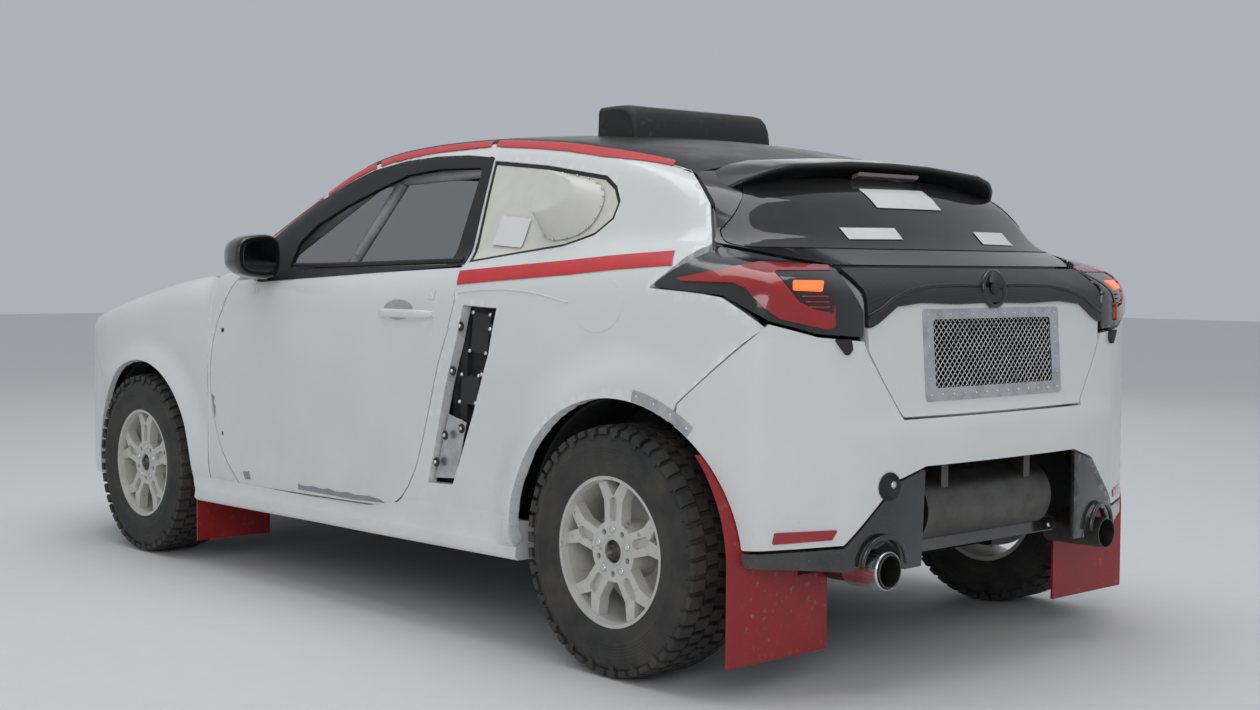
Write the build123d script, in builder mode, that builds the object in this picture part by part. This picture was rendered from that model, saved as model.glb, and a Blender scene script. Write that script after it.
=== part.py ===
"""Three-door rally hatchback with its engine behind the seats, as an assembly of named pieces.

Millimetres. +X is forward, +Y is the car's left, +Z is up. The origin is on the ground, midway along
the car and on its centre plane. The outer skin is one volume, and each body panel is cut from it.
"""

import os
from math import cos, hypot, radians, sin

from build123d import *

# Overall size and stance
LENGTH = 3995.0
WHEELBASE = 2560.0
FRONT_OVERHANG = 840.0
HEIGHT = 1455.0
TRACK_FRONT = 1535.0
TRACK_REAR = 1565.0
NOSE = LENGTH / 2
TAIL = -LENGTH / 2
FRONT_AXLE = NOSE - FRONT_OVERHANG
REAR_AXLE = FRONT_AXLE - WHEELBASE
SILL_Z = 232.0
SIDE_Y = 852.0

# Wheels
TYRE_R = 322.0
TYRE_WIDTH = 205.0
RIM_R = 206.0
SEAT_R = 190.0
RIM_WIDTH = 190.0
BARREL_WALL = 10.0
BORE_R = 30.0
SPOKES = 5
LUG_CIRCLE = 114.3
SPOKE_OUT = 80.0
SPOKE_IN = 48.0
SPOKE_POCKET = 14.0
DISC_OUT = -10.0
DISC_THICK = 22.0
LUG_R = 8.0
BRAKE_R = 150.0

# Half of one forked spoke that points along +X, as (along, across) from the hub's centre
SPOKE = [(60, -1), (138, -1), (152, 8), (185, 34), (176, 60), (128, 34), (60, 30)]

# Wheel arches
ARCH_R = 388.0
ARCH_FRONT_Z = 305.0
ARCH_REAR_X = REAR_AXLE - 8.0
ARCH_REAR_Z = 322.0
WELL_WALL = 8.0
WELL_IN_FRONT = 478.0
WELL_IN_REAR = 600.0
FLARE_FRONT_Y = 882.0
FLARE_REAR_Y = 902.0
FLARE_IN_Y = 765.0
TAIL_UNDER_Z = 300.0
LIP_WIDTH = 26.0
FLARE_WIDTH = 66.0

# Steering: the axis leans inward from the lower ball joint to the strut's top
BALL_Y = 700.0
BALL_Z = 205.0
STRUT_TOP_Y = 615.0
STRUT_TOP_Z = 676.0
STRUT_R = 40.0

# Panels and running gaps
SKIN = 40.0
DOOR_IN_Y = 764.0
GLASS = 14.0
GAP = 6.5
SEAM = 0.6
SEAT_GAP = 0.3
PIN_R = 5.0
EYE_R = 9.0
HINGE_WIDTH = 12.0
CROWN_R = 9000.0
ROOF_CROWN_R = 4500.0
CROWN_SPAN = 12.0

# Half outline of the lower body in plan, front to back as (x, y); a bulge is an arc's rise
PLAN = [
    (NOSE - 72, 470),
    (1500, 842),
    (900, SIDE_Y),
    (-1100, SIDE_Y + 4),
    (-1640, SIDE_Y + 4),
    (TAIL + 171, 803),
    (TAIL + 58, 560),
]
PLAN_BULGE = {0: -100}
NOSE_BULGE = -72
TAIL_BULGE = -58

# Half cross-section of the lower body, as (y, z) from the sill up
SECTION = [(798, SILL_Z), (SIDE_Y + 4, 480), (SIDE_Y + 4, 690), (800, 1110)]
SECTION_BULGE = {0: -26, 2: -14}

# The lower body seen from the side, as (x, z): hood, belt, tail, underside and nose
PROFILE = [
    (1860, 800),
    (890, 1030),
    (536, 1026),
    (-676, 1084),
    (-1300, 1118),
    (-1560, 1120),
    (-1800, 1085),
    (-1862, 1058),
    (-1925, 1000),
    (-1932, 880),
    (-1948, 690),
    (TAIL + 16, 655),
    (TAIL, 560),
    (TAIL + 6, 330),
    (-1640, 325),
    (-1560, 120),
    (NOSE - 120, 120),
    (NOSE - 40, 250),
    (NOSE, 430),
    (NOSE, 580),
    (NOSE - 50, 720),
]
PROFILE_BULGE = {0: -30}

# Plan outlines of the cabin at its foot and top: z, screen x, front corner, rear corner, rear centre x
CABIN = [
    (985.0, 930.0, (732, 828), (-1669, 748), -1880.0),
    (1460.0, 217.0, (-40, 577), (-1380, 565), -1430.0),
]
THROAT = 110.0
ROOF = [
    (320, HEIGHT - 57),
    (-1425, HEIGHT - 110),
    (-1600, HEIGHT - 165),
    (-1950, 1010),
    (-1950, 850),
    (1250, 850),
]
ROOF_BULGE = {0: -81.4}

# Door outline seen from the side, as (x, z): up the front edge, back along the belt, down the rear edge
DOOR = [
    (512, 312),
    (620, 420),
    (668, 534),
    (684, 700),
    (640, 850),
    (536, 990),
    (536, 1060),
    (-676, 1110),
    (-680, 1046),
    (-688, 940),
    (-640, 790),
    (-598, 657),
    (-520, 440),
    (-430, 326),
    (-217, 316),
]
DOOR_PIN_X = 602.0
DOOR_PIN_Y = 838.0
DOOR_HINGE_Z = (470.0, 820.0)
DOOR_RELIEF_R = 22.0
DOOR_RELIEF_Z = (378.0, 418.0)

# Door handle seen from above, as (x, y): a bar on two feet that are sunk in the door
HANDLE = [(-328, 832), (-344, 868), (-584, 868), (-604, 832), (-562, 832), (-552, 851), (-378, 851), (-368, 832)]
HANDLE_Z = 903.0
HANDLE_TALL = 22.0
FENDER = [
    (700, 262),
    (1900, 262),
    (1900, 1100),
    (900, 1100),
    (900, 1020),
    (700, 1000),
    (536, 992),
    (600, 700),
    (630, 440),
    (700, 440),
]

# Window openings seen from the side, as (x, z)
DOOR_WINDOW = [
    (528, 960),
    (500, 1000),
    (440, 1112),
    (365, 1172),
    (253, 1240),
    (130, 1294),
    (-7, 1337),
    (-158, 1359),
    (-314, 1366),
    (-575, 1353),
    (-640, 1056),
    (-668, 1010),
]
WINDOW_FRAME = 36.0
QUARTER_WINDOW = [
    (-640, 1340),
    (-851, 1322),
    (-1090, 1288),
    (-1165, 1258),
    (-1200, 1214),
    (-1192, 1168),
    (-1140, 1132),
    (-1038, 1108),
    (-706, 1072),
]

# Intake slot in the quarter ahead of the rear wheel, as (x, z), and the fuel flap
INTAKE = [(-764, 918), (-872, 914), (-850, 760), (-715, 430), (-590, 420)]
FLAP_X = -1343.0
FLAP_Z = 937.0
FLAP_R = 84.0

# Hood in plan, as half (x, y)
HOOD = [(1836, 520), (1560, 640), (905, 716)]
HOOD_PIN_X = 917.0
HOOD_PIN_Z = 990.0
HOOD_PIN_Y = 600.0
HOOD_SWING_R = 46.0
COWL_Z = 945.0
COWL_HALF = 640.0
FIREWALL_X = 590.0
FIREWALL_THICK = 30.0
BULKHEAD_X = -700.0
POST_Y = 715.0
JACK_PLACES = [(500.0, 700.0), (-800.0, 700.0)]
JACK_PAD = 60.0
JACK_DEPTH = 10.0
FLOOR_Y = 745.0

# Openings seen along the car, as half (y, z)
SCREEN = [(700, 1012), (505, 1372)]
REAR_GLASS = [(655, 1096), (500, 1262)]
TAILGATE = [(385, 672), (500, 838), (512, 1052), (716, 1110), (648, 1216), (588, 1320), (588, 1420)]
TAILGATE_X = -1418.0
TAILGATE_PIN_X = -1448.0
TAILGATE_PIN_Z = 1319.0
TAILGATE_PIN_Y = 200.0
HATCH_GAP = 13.0
HATCH_RELIEF = [(-1400, 1000), (-1400, 1300), (-1484, 1300), (-1682, 1000)]
HATCH_RELIEF_Y = 560.0
MESH = [(292, 712), (292, 935)]
MESH_SLOT = 26.0
MESH_EDGE = 14.0
MESH_ROWS = [-240, -200, -160, -120, -80, -40, 0, 40, 80, 120, 160, 200, 240]
GRILLE = [(430, 290), (430, 455)]
GRILLE_BARS = 6
HEADLAMP = [(450, 668), (690, 700), (800, 770), (800, 860), (600, 800), (470, 740)]
HEADLAMP_X = 1590.0
CORNER_Y = 480.0
PAN_Y = 455.0
TAIL_LAMP = [(-1568, 1052), (-2100, 1052), (-2100, 868), (-1883, 912), (-1732, 975), (-1489, 992)]
TAIL_LAMP_Y = 516.0

ROOF_HALF = 520.0
SCOOP = [(-694, 1400), (-694, 1526), (-800, 1526), (-838, 1505), (-856, 1460), (-860, 1400)]
SCOOP_HALF = 292.0
SCOOP_WALL = 12.0
SPOILER = [(-1452, 1346), (-1500, 1342), (-1586, 1322), (-1592, 1303), (-1530, 1290), (-1452, 1290)]
SPOILER_HALF = 486.0

# Front bumper and rear bumper, seen from the side
FRONT_BUMPER = [(1480, 0), (2100, 0), (2100, 1100), (1842, 1100), (1842, 760), (1760, 745), (1600, 700), (1480, 600)]
REAR_BUMPER = [(-2100, 0), (-1560, 0), (-1560, 660), (-1608, 700), (-1798, 862), (-1850, 872), (-2100, 872)]
DIFFUSER_Z = 368.0
TAIL_OPENING = [(300, 250), (325, 546)]
TIP_Y = 476.0
TIP_Z = 305.0
TIP_R = 42.0
TIP_WALL = 3.0
BEAM_Z = 560.0
TIP_CLEARANCE = 10.0
FLAP_THICK = 7.0

os.makedirs("parts", exist_ok=True)


def save(shape, name):
    """Labels a finished piece and writes it as its own file."""
    shape.label = name
    export_step(shape, f"parts/{name}.step")


def flipped(shape):
    """The same piece on the other side of the car."""
    return mirror(shape, about=Plane.XZ)


def pair(left):
    """A piece of the left side together with its mirror image on the right."""
    return Compound(children=[left, flipped(left)])


def inset_points(points, amount):
    """Moves each side of a closed anticlockwise outline inward by amount."""
    moved = []
    for i, (x, y) in enumerate(points):
        before, after = points[i - 1], points[(i + 1) % len(points)]
        ax, ay = x - before[0], y - before[1]
        bx, by = after[0] - x, after[1] - y
        a, b = hypot(ax, ay), hypot(bx, by)
        n1, n2 = (-ay / a, ax / a), (-by / b, bx / b)
        scale = amount / (1 + n1[0] * n2[0] + n1[1] * n2[1])
        moved.append((x + (n1[0] + n2[0]) * scale, y + (n1[1] + n2[1]) * scale))
    return moved


def both_sides(half, bulges, far_bulge=0, near_bulge=0):
    """A half outline and its arcs, closed by their mirror image across the first coordinate's axis."""
    arcs = dict(bulges)
    count = len(half)
    for i, rise in bulges.items():
        arcs[2 * count - 2 - i] = rise
    arcs[count - 1] = far_bulge
    arcs[2 * count - 1] = near_bulge
    return arcs


def trace(points, arcs):
    """Draws a closed outline of lines, with an arc where a rise is given."""
    for i, start in enumerate(points):
        end = points[(i + 1) % len(points)]
        if arcs.get(i):
            SagittaArc(start, end, arcs[i])
        else:
            Line(start, end)


def outline_prism(points, arcs, plane, depth, both=False, shift=0.0):
    """A closed outline, moved inward by shift, pushed out of its plane."""
    with BuildPart() as made:
        with BuildSketch(plane):
            with BuildLine():
                trace(inset_points(points, shift) if shift else points, arcs)
            make_face()
        extrude(amount=depth, both=both)
    return made.part


def side_prism(points, y_low, y_high, shift=0.0, arcs=None):
    """An outline seen from the side, as a solid from one width to another."""
    return outline_prism(points, arcs or {}, Plane.XZ.offset(-y_high), y_high - y_low, shift=shift)


def end_prism(half, x_low, x_high, shift=0.0):
    """A half outline seen along the car and its mirror image, as a solid from one place to another."""
    points = half + [(-y, z) for y, z in reversed(half)]
    return outline_prism(points, {}, Plane.YZ.offset(x_low), x_high - x_low, shift=shift)


def block(x_low, x_high, y_low, y_high, z_low, z_high):
    """A plain box between six planes."""
    with BuildPart() as made:
        with Locations(((x_low + x_high) / 2, (y_low + y_high) / 2, (z_low + z_high) / 2)):
            Box(x_high - x_low, y_high - y_low, z_high - z_low)
    return made.part


def cross_cylinder(x, z, radius, y_low, y_high):
    """A round cylinder whose axis runs across the car."""
    with BuildPart() as made:
        with BuildSketch(Plane.XZ.offset(-y_high)):
            with Locations((x, z)):
                Circle(radius)
        extrude(amount=y_high - y_low)
    return made.part


def post(x, y, radius, z_low, z_high):
    """A round cylinder that stands upright."""
    with BuildPart() as made:
        with BuildSketch(Plane.XY.offset(z_low)):
            with Locations((x, y)):
                Circle(radius)
        extrude(amount=z_high - z_low)
    return made.part


def part_of(source, keep, *away):
    """What lies of a source inside keep and outside each piece of away."""
    with BuildPart() as made:
        add(source)
        add(keep, mode=Mode.INTERSECT)
        if away:
            add(away, mode=Mode.SUBTRACT)
    return made.part


def joined(*pieces):
    """Pieces made into one."""
    with BuildPart() as made:
        add(pieces)
    return made.part


def without(source, *away):
    """A piece with others cut out of it."""
    with BuildPart() as made:
        add(source)
        add(away, mode=Mode.SUBTRACT)
    return made.part


def in_sections(source, middle, *left_rooms):
    """A wide piece as its middle and sections on both sides, which stay separate solids."""
    left = [part_of(source, room) for room in left_rooms]
    return Compound(children=[part_of(source, middle), *left, *[flipped(piece) for piece in left]])


def crowned(points, arcs, top_z, radius, inset):
    """A side outline swept round a low line along the car, so that its top is crowned."""
    low = top_z - radius
    tilt = radians(CROWN_SPAN)
    with BuildPart() as made:
        with BuildSketch(Plane((0, 0, low), x_dir=(1, 0, 0), z_dir=(0, -cos(tilt), sin(tilt)))):
            with BuildLine():
                trace([(x, z - low) for x, z in inset_points(points, inset)], arcs)
            make_face()
        revolve(axis=Axis((0, 0, low), (1, 0, 0)), revolution_arc=2 * CROWN_SPAN)
    return made.part


def lower_body(inset):
    """Everything below the belt line, taken in on all sides by inset."""
    plan = PLAN + [(x, -y) for x, y in reversed(PLAN)]
    section = SECTION + [(-y, z) for y, z in reversed(SECTION)]
    plan_arcs = both_sides(PLAN, PLAN_BULGE, TAIL_BULGE, NOSE_BULGE)
    section_arcs = both_sides(SECTION, SECTION_BULGE)
    with BuildPart() as made:
        add(outline_prism(plan, plan_arcs, Plane.XY, 1600, shift=inset))
        across = outline_prism(section, section_arcs, Plane.YZ, LENGTH, both=True, shift=inset)
        add(across, mode=Mode.INTERSECT)
        add(crowned(PROFILE, PROFILE_BULGE, 1000, CROWN_R, inset), mode=Mode.INTERSECT)
    return made.part


def cabin(inset):
    """The cabin above the belt line, taken in on all sides by inset, with a throat down into the body."""
    with BuildPart() as made:
        for z, screen_x, front, rear, rear_x in CABIN:
            half = [front, rear]
            points = inset_points(half + [(x, -y) for x, y in reversed(half)], inset)
            arcs = {1: rear_x - rear[0], 3: front[0] - screen_x}
            with BuildSketch(Plane.XY.offset(z)):
                with BuildLine():
                    trace(points, arcs)
                make_face()
        loft(ruled=True)
        foot = made.faces().sort_by(Axis.Z)[0]
        extrude(foot, amount=THROAT, dir=(0, 0, -1))
        add(crowned(ROOF, ROOF_BULGE, HEIGHT, ROOF_CROWN_R, inset), mode=Mode.INTERSECT)
    return made.part


def flare(arch_x, arch_z, out_y):
    """A raised lip round the left wheel arch that falls away to the body side."""
    lip = ARCH_R + LIP_WIDTH
    foot = ARCH_R + FLARE_WIDTH
    profile = [(0, FLARE_IN_Y), (foot, FLARE_IN_Y), (foot, SIDE_Y - 8), (lip, out_y), (0, out_y)]
    with BuildPart() as made:
        with BuildSketch(Plane.XY.offset(arch_z)):
            with BuildLine():
                trace([(arch_x + r, y) for r, y in profile], {})
            make_face()
        revolve(axis=Axis((arch_x, 0, arch_z), (0, 1, 0)))
        add(block(-3000, 3000, 400, 1000, SILL_Z, 1000), mode=Mode.INTERSECT)
    return made.part


def front_flare():
    """The raised lip round the left front arch."""
    return flare(FRONT_AXLE, ARCH_FRONT_Z, FLARE_FRONT_Y)


def rear_flare():
    """The raised lip round the left rear arch."""
    below_tail = block(TAIL, REAR_AXLE - 200, FLARE_IN_Y - 10, 1000, 0, TAIL_UNDER_Z)
    return without(flare(ARCH_REAR_X, ARCH_REAR_Z, FLARE_REAR_Y), below_tail)


def arch_space(arch_x, arch_z, radius, y_low, y_high):
    """A round-topped space across the left side, with straight feet below its centre."""
    with BuildPart() as made:
        with BuildSketch(Plane.XZ.offset(-y_high)):
            with Locations((arch_x, arch_z)):
                Circle(radius)
            with Locations((arch_x, arch_z / 2)):
                Rectangle(2 * radius, arch_z)
        extrude(amount=y_high - y_low)
    return made.part


def wheelhouse(arch_x, arch_z, well_in, room):
    """The liner over one left wheel, open outward and below."""
    shell = arch_space(arch_x, arch_z, ARCH_R + WELL_WALL, well_in - WELL_WALL, 1000)
    return part_of(shell, room, arch_space(arch_x, arch_z, ARCH_R, well_in, 1100))


def tube(points, radius, bend):
    """A round tube along straight runs joined by bends."""
    with BuildPart() as made:
        with BuildLine() as route:
            FilletPolyline(*points, radius=bend)
        with BuildSketch(Plane(origin=route.line @ 0, z_dir=route.line % 0)):
            Circle(radius)
        sweep()
    return made.part


def rod(start, end, radius):
    """A straight round bar between two points."""
    with BuildPart() as made:
        direction = Vector(*end) - Vector(*start)
        with BuildSketch(Plane(origin=start, z_dir=direction)):
            Circle(radius)
        extrude(amount=direction.length)
    return made.part


belt_room = lower_body(0)
cabin_room = cabin(0)
flares = [front_flare(), rear_flare()]
outer = joined(belt_room, cabin_room, *flares, *[flipped(lip) for lip in flares])
inner = joined(lower_body(SKIN), cabin(SKIN))
front_arch = arch_space(FRONT_AXLE, ARCH_FRONT_Z, ARCH_R, WELL_IN_FRONT, 1000)
rear_arch = arch_space(ARCH_REAR_X, ARCH_REAR_Z, ARCH_R, WELL_IN_REAR, 1000)
skin = without(outer, inner, front_arch, rear_arch, flipped(front_arch), flipped(rear_arch))

# Hood: its pins lie behind and below the top of its rear edge
hood_half = HOOD + [(x, -y) for x, y in reversed(HOOD)]
hood_zone = outline_prism(hood_half, {}, Plane.XY.offset(740), 400)
hood_gap = outline_prism(hood_half, {}, Plane.XY.offset(740), 400, shift=-GAP)
hood_pocket = block(HOOD_PIN_X - 40, HOOD_PIN_X + 14, -9, 9, HOOD_PIN_Z - 60, HOOD_PIN_Z + EYE_R + 1.5)
hood_pin = cross_cylinder(HOOD_PIN_X, HOOD_PIN_Z, PIN_R, -HINGE_WIDTH, HINGE_WIDTH)
hood_places = [Location((0, y, 0)) for y in (-HOOD_PIN_Y, HOOD_PIN_Y)]
hood_pockets = [hood_pocket.moved(place) for place in hood_places]
hood_pins = [hood_pin.moved(place) for place in hood_places]
save(joined(part_of(skin, hood_zone, *hood_pockets), *hood_pins), "hood")

# Cowl: a tray below the screen that carries the hood's hinge arms
hood_bore = cross_cylinder(HOOD_PIN_X, HOOD_PIN_Z, PIN_R + SEAT_GAP, -HINGE_WIDTH, HINGE_WIDTH)
half_width = HINGE_WIDTH / 2
hood_arm = without(
    joined(
        block(HOOD_PIN_X - EYE_R, HOOD_PIN_X + EYE_R, -half_width, half_width, COWL_Z, HOOD_PIN_Z),
        cross_cylinder(HOOD_PIN_X, HOOD_PIN_Z, EYE_R, -half_width, half_width),
    ),
    hood_bore,
)
cowl_tray = block(FIREWALL_X + FIREWALL_THICK, HOOD_PIN_X + 14, -COWL_HALF, COWL_HALF, COWL_Z - 12, COWL_Z)
save(joined(cowl_tray, *[hood_arm.moved(place) for place in hood_places]), "cowl")
hood_swing = cross_cylinder(HOOD_PIN_X, HOOD_PIN_Z, HOOD_SWING_R, -HOOD[2][1], HOOD[2][1])
cowl_cut = without(block(640, HOOD[2][0], -HOOD[2][1], HOOD[2][1], COWL_Z, 1100), cabin_room)

# Left door: its hinge eyes sit in notches behind the front edge
door_zone = side_prism(DOOR, DOOR_IN_Y, 900)
door_gap = side_prism(DOOR, DOOR_IN_Y - 60, 1000, shift=-GAP)
door_cuts, door_pins, door_arms = [], [], []
for z in DOOR_HINGE_Z:
    low, high = z - half_width, z + half_width
    swing = post(DOOR_PIN_X, DOOR_PIN_Y, 150, low - GAP, high + GAP)
    eye_room = block(DOOR_PIN_X - 200, DOOR_PIN_X + 200, 600, DOOR_PIN_Y + EYE_R + 1, low - GAP, high + GAP)
    door_cuts.append(part_of(swing, eye_room))
    door_pins.append(post(DOOR_PIN_X, DOOR_PIN_Y, PIN_R, low - GAP - 1, high + GAP + 1))
    arm = block(DOOR_PIN_X - EYE_R, DOOR_PIN_X + EYE_R, POST_Y - 20, DOOR_PIN_Y, low, high)
    eye = post(DOOR_PIN_X, DOOR_PIN_Y, EYE_R, low, high)
    bore = post(DOOR_PIN_X, DOOR_PIN_Y, PIN_R + SEAT_GAP, low - 5, high + 5)
    door_arms.append(without(joined(arm, eye), bore))
door_relief = post(DOOR_PIN_X, DOOR_PIN_Y, DOOR_RELIEF_R, *DOOR_RELIEF_Z)
handle = outline_prism(HANDLE, {}, Plane.XY.offset(HANDLE_Z - HANDLE_TALL / 2), HANDLE_TALL)
door_left = joined(part_of(belt_room, door_zone, *door_cuts), handle, *door_pins)
save(door_left, "door_left")
save(flipped(door_left), "door_right")

# Side windows
window = side_prism(DOOR_WINDOW, 400, 1000)
quarter = side_prism(QUARTER_WINDOW, 400, 1000)
glass_skin = without(cabin(SEAT_GAP), cabin(GLASS))
frame_skin = part_of(cabin_room, side_prism(DOOR_WINDOW, 400, 1000, shift=SEAT_GAP), inner)
frame_hole = side_prism(DOOR_WINDOW, 300, 1100, shift=WINDOW_FRAME)
save(pair(without(frame_skin, frame_hole, door_gap, belt_room)), "window_frames")
quarter_pane = part_of(glass_skin, side_prism(QUARTER_WINDOW, 400, 1000, shift=SEAT_GAP), belt_room)
save(pair(quarter_pane), "quarter_windows")
pane_room = side_prism(DOOR_WINDOW, 400, 1000, shift=WINDOW_FRAME + GAP)
door_pane = part_of(without(cabin(GLASS + 4), cabin(GLASS + 10)), pane_room, belt_room)
save(flipped(door_pane), "door_glass_right")

# Windscreen and rear glass
screen_hole = end_prism(SCREEN, 120, 1200)
save(part_of(glass_skin, end_prism(SCREEN, 120, 1200, shift=SEAT_GAP), hood_swing), "windscreen")
save(part_of(glass_skin, end_prism(REAR_GLASS, TAIL, TAILGATE_X, shift=SEAT_GAP), belt_room), "rear_glass")

# Roof, with the arms of the tailgate's hinges
roof_zone = side_prism(
    [
        (TAILGATE_X + HATCH_GAP, 1200),
        (260, 1200),
        (260, SCREEN[1][1]),
        (430, SCREEN[1][1]),
        (430, 1500),
        (TAILGATE_X + HATCH_GAP, 1500),
    ],
    -ROOF_HALF,
    ROOF_HALF,
)
hatch_places = [Location((0, y, 0)) for y in (-TAILGATE_PIN_Y, TAILGATE_PIN_Y)]
hatch_arm = block(TAILGATE_PIN_X, TAILGATE_X + 36, -half_width, half_width, TAILGATE_PIN_Z - 18, TAILGATE_PIN_Z)
hatch_eye = cross_cylinder(TAILGATE_PIN_X, TAILGATE_PIN_Z, EYE_R, -half_width, half_width)
hatch_bore = cross_cylinder(TAILGATE_PIN_X, TAILGATE_PIN_Z, PIN_R + SEAT_GAP, -HINGE_WIDTH, HINGE_WIDTH)
hatch_hinge = without(joined(hatch_arm, hatch_eye), hatch_bore)
roof = joined(part_of(skin, roof_zone, screen_hole), *[hatch_hinge.moved(place) for place in hatch_places])
save(roof, "roof")

# Roof scoop, open forward
scoop = side_prism(SCOOP, -SCOOP_HALF, SCOOP_HALF)
scoop_inside = side_prism(SCOOP, -SCOOP_HALF + SCOOP_WALL, SCOOP_HALF - SCOOP_WALL, shift=SCOOP_WALL)
scoop_mouth = block(
    SCOOP[0][0] - 60, SCOOP[0][0] + 1, -SCOOP_HALF + SCOOP_WALL, SCOOP_HALF - SCOOP_WALL, 1460, 1514
)
save(without(scoop, scoop_inside, scoop_mouth, cabin_room), "roof_scoop")

# Tailgate with its hinge ears, and the vent panel and spoiler that it carries
tail_skin = part_of(skin, end_prism(TAILGATE, TAIL - 20, TAILGATE_X))
tail_gap = end_prism(TAILGATE, TAIL - 20, TAILGATE_X + HATCH_GAP, shift=-GAP)
hatch_pocket = block(TAILGATE_PIN_X - 16, TAILGATE_X + 1, -9, 9, 1250, 1400)
hatch_pin = cross_cylinder(TAILGATE_PIN_X, TAILGATE_PIN_Z, PIN_R, -HINGE_WIDTH, HINGE_WIDTH)
mesh_hole = end_prism(MESH, TAIL - 10, -1700)
pillar_room = side_prism(HATCH_RELIEF, HATCH_RELIEF_Y, 900)
tail_body = without(
    tail_skin,
    pillar_room,
    flipped(pillar_room),
    end_prism(REAR_GLASS, TAIL, TAILGATE_X),
    mesh_hole,
    *[hatch_pocket.moved(place) for place in hatch_places],
)
save(joined(tail_body, *[hatch_pin.moved(place) for place in hatch_places]), "tailgate")
mesh_slots = [
    block(TAIL, -1700, y - MESH_SLOT / 2, y + MESH_SLOT / 2, MESH[0][1] + MESH_EDGE, MESH[1][1] - MESH_EDGE)
    for y in MESH_ROWS
]
save(part_of(tail_skin, end_prism(MESH, TAIL - 10, -1700, shift=SEAM), *mesh_slots), "vent_panel")
save(without(side_prism(SPOILER, -SPOILER_HALF, SPOILER_HALF), cabin_room), "spoiler")

# Tail lamps
lamp_zone = side_prism(TAIL_LAMP, TAIL_LAMP_Y, 1000)
save(pair(part_of(skin, lamp_zone)), "tail_lamps")

# Rear bumper and diffuser, open round the silencer and the tail pipes
tail_zone = side_prism(REAR_BUMPER, -1000, 1000)
tail_hole = end_prism(TAIL_OPENING, TAIL - 10, -1750)
pipe_holes = [rod((TAIL - 20, y, TIP_Z), (-1700, y, TIP_Z), TIP_R + TIP_CLEARANCE) for y in (-TIP_Y, TIP_Y)]
pipe_room = block(-1890, -1750, -540, 540, 200, 420)
tail_shell = part_of(skin, tail_zone, tail_gap, tail_hole, *pipe_holes)
diffuser_band = block(-2100, -1500, -1000, 1000, 0, DIFFUSER_Z)
diffuser = part_of(tail_shell, diffuser_band, pipe_room)
save(without(tail_shell, diffuser_band), "rear_bumper")
save(diffuser, "diffuser")

# Front bumper, its grille and the headlamps
nose_zone = side_prism(FRONT_BUMPER, -1000, 1000)
lamp_front = outline_prism(HEADLAMP, {}, Plane.YZ.offset(HEADLAMP_X), NOSE - HEADLAMP_X)
save(pair(part_of(skin, lamp_front, hood_gap)), "headlamps")
nose_shell = part_of(skin, nose_zone, hood_gap, lamp_front, flipped(lamp_front))
bumper = without(nose_shell, end_prism(GRILLE, 1700, NOSE + 10))
middle = block(1400, NOSE + 10, -CORNER_Y, CORNER_Y, 0, 1200)
corner_room = block(1400, NOSE + 10, CORNER_Y + SEAM, 1000, 0, 1200)
save(in_sections(bumper, middle, corner_room), "front_bumper")
pitch = (GRILLE[1][1] - GRILLE[0][1]) / (GRILLE_BARS - 1)
bars = [
    block(1700, NOSE + 10, -1000, 1000, GRILLE[0][1] + i * pitch - 7, GRILLE[0][1] + i * pitch + 7)
    for i in range(GRILLE_BARS)
]
struts = [block(1700, NOSE + 10, y - 8, y + 8, 0, 1000) for y in (-GRILLE[0][0], -215, 0, 215, GRILLE[0][0])]
grille_skin = part_of(nose_shell, end_prism(GRILLE, 1700, NOSE + 10, shift=SEAM))
save(part_of(grille_skin, joined(*bars, *struts)), "grille")

# Fenders and side bodies
fender_zone = without(side_prism(FENDER, 100, 1000), cabin_room)
moved_away = [hood_gap, nose_zone, lamp_front]
floor_zone = block(-1560, 1480, -FLOOR_Y, FLOOR_Y, 0, SILL_Z + SKIN + 1)
fender = part_of(skin, fender_zone, *moved_away, door_gap, cowl_cut, floor_zone)
save(pair(fender), "fenders")
left_half = block(-3000, 3000, 0, 1000, 0, 2000)
side_cuts = [
    *moved_away,
    cowl_cut,
    hood_swing,
    door_gap,
    door_relief,
    window,
    quarter,
    screen_hole,
    roof_zone,
    tail_gap,
    lamp_zone,
    tail_zone,
    fender_zone,
    floor_zone,
    side_prism(INTAKE, 700, 1000),
]
side_left = part_of(skin, left_half, *side_cuts)
save(without(side_left, cross_cylinder(FLAP_X, FLAP_Z, FLAP_R + SEAM, 700, 1000)), "side_body_left")
save(flipped(side_left), "side_body_right")

# Floor, bulkheads and wheelhouses
front_house = wheelhouse(FRONT_AXLE, ARCH_FRONT_Z, WELL_IN_FRONT, inner)
rear_house = wheelhouse(ARCH_REAR_X, ARCH_REAR_Z, WELL_IN_REAR, inner)
firewall = block(FIREWALL_X, FIREWALL_X + FIREWALL_THICK, -POST_Y, POST_Y, SILL_Z + 5, COWL_Z)
bulkhead = part_of(block(BULKHEAD_X - 30, BULKHEAD_X, -900, 900, SILL_Z + 5, 1030), inner)
ball = Vector(FRONT_AXLE, BALL_Y, BALL_Z)
strut_top = Vector(FRONT_AXLE, STRUT_TOP_Y, STRUT_TOP_Z)
lean = (strut_top - ball).normalized()
strut_seat = rod(tuple(strut_top + lean * SEAT_GAP), tuple(strut_top + lean * 24), STRUT_R)
pads = [
    block(x - JACK_PAD / 2, x + JACK_PAD / 2, y - JACK_PAD / 2, y + JACK_PAD / 2, SILL_Z - JACK_DEPTH, SILL_Z + 1)
    for x, y in JACK_PLACES
]
left_side = [front_house, rear_house, strut_seat, *door_arms, *pads]
right_side = [flipped(piece) for piece in left_side]
whole_floor = joined(part_of(skin, floor_zone), firewall, bulkhead, *left_side, *right_side)
ahead = block(FRONT_AXLE - ARCH_R - WELL_WALL - SEAM, NOSE, -1000, 1000, 0, 2000)
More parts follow.
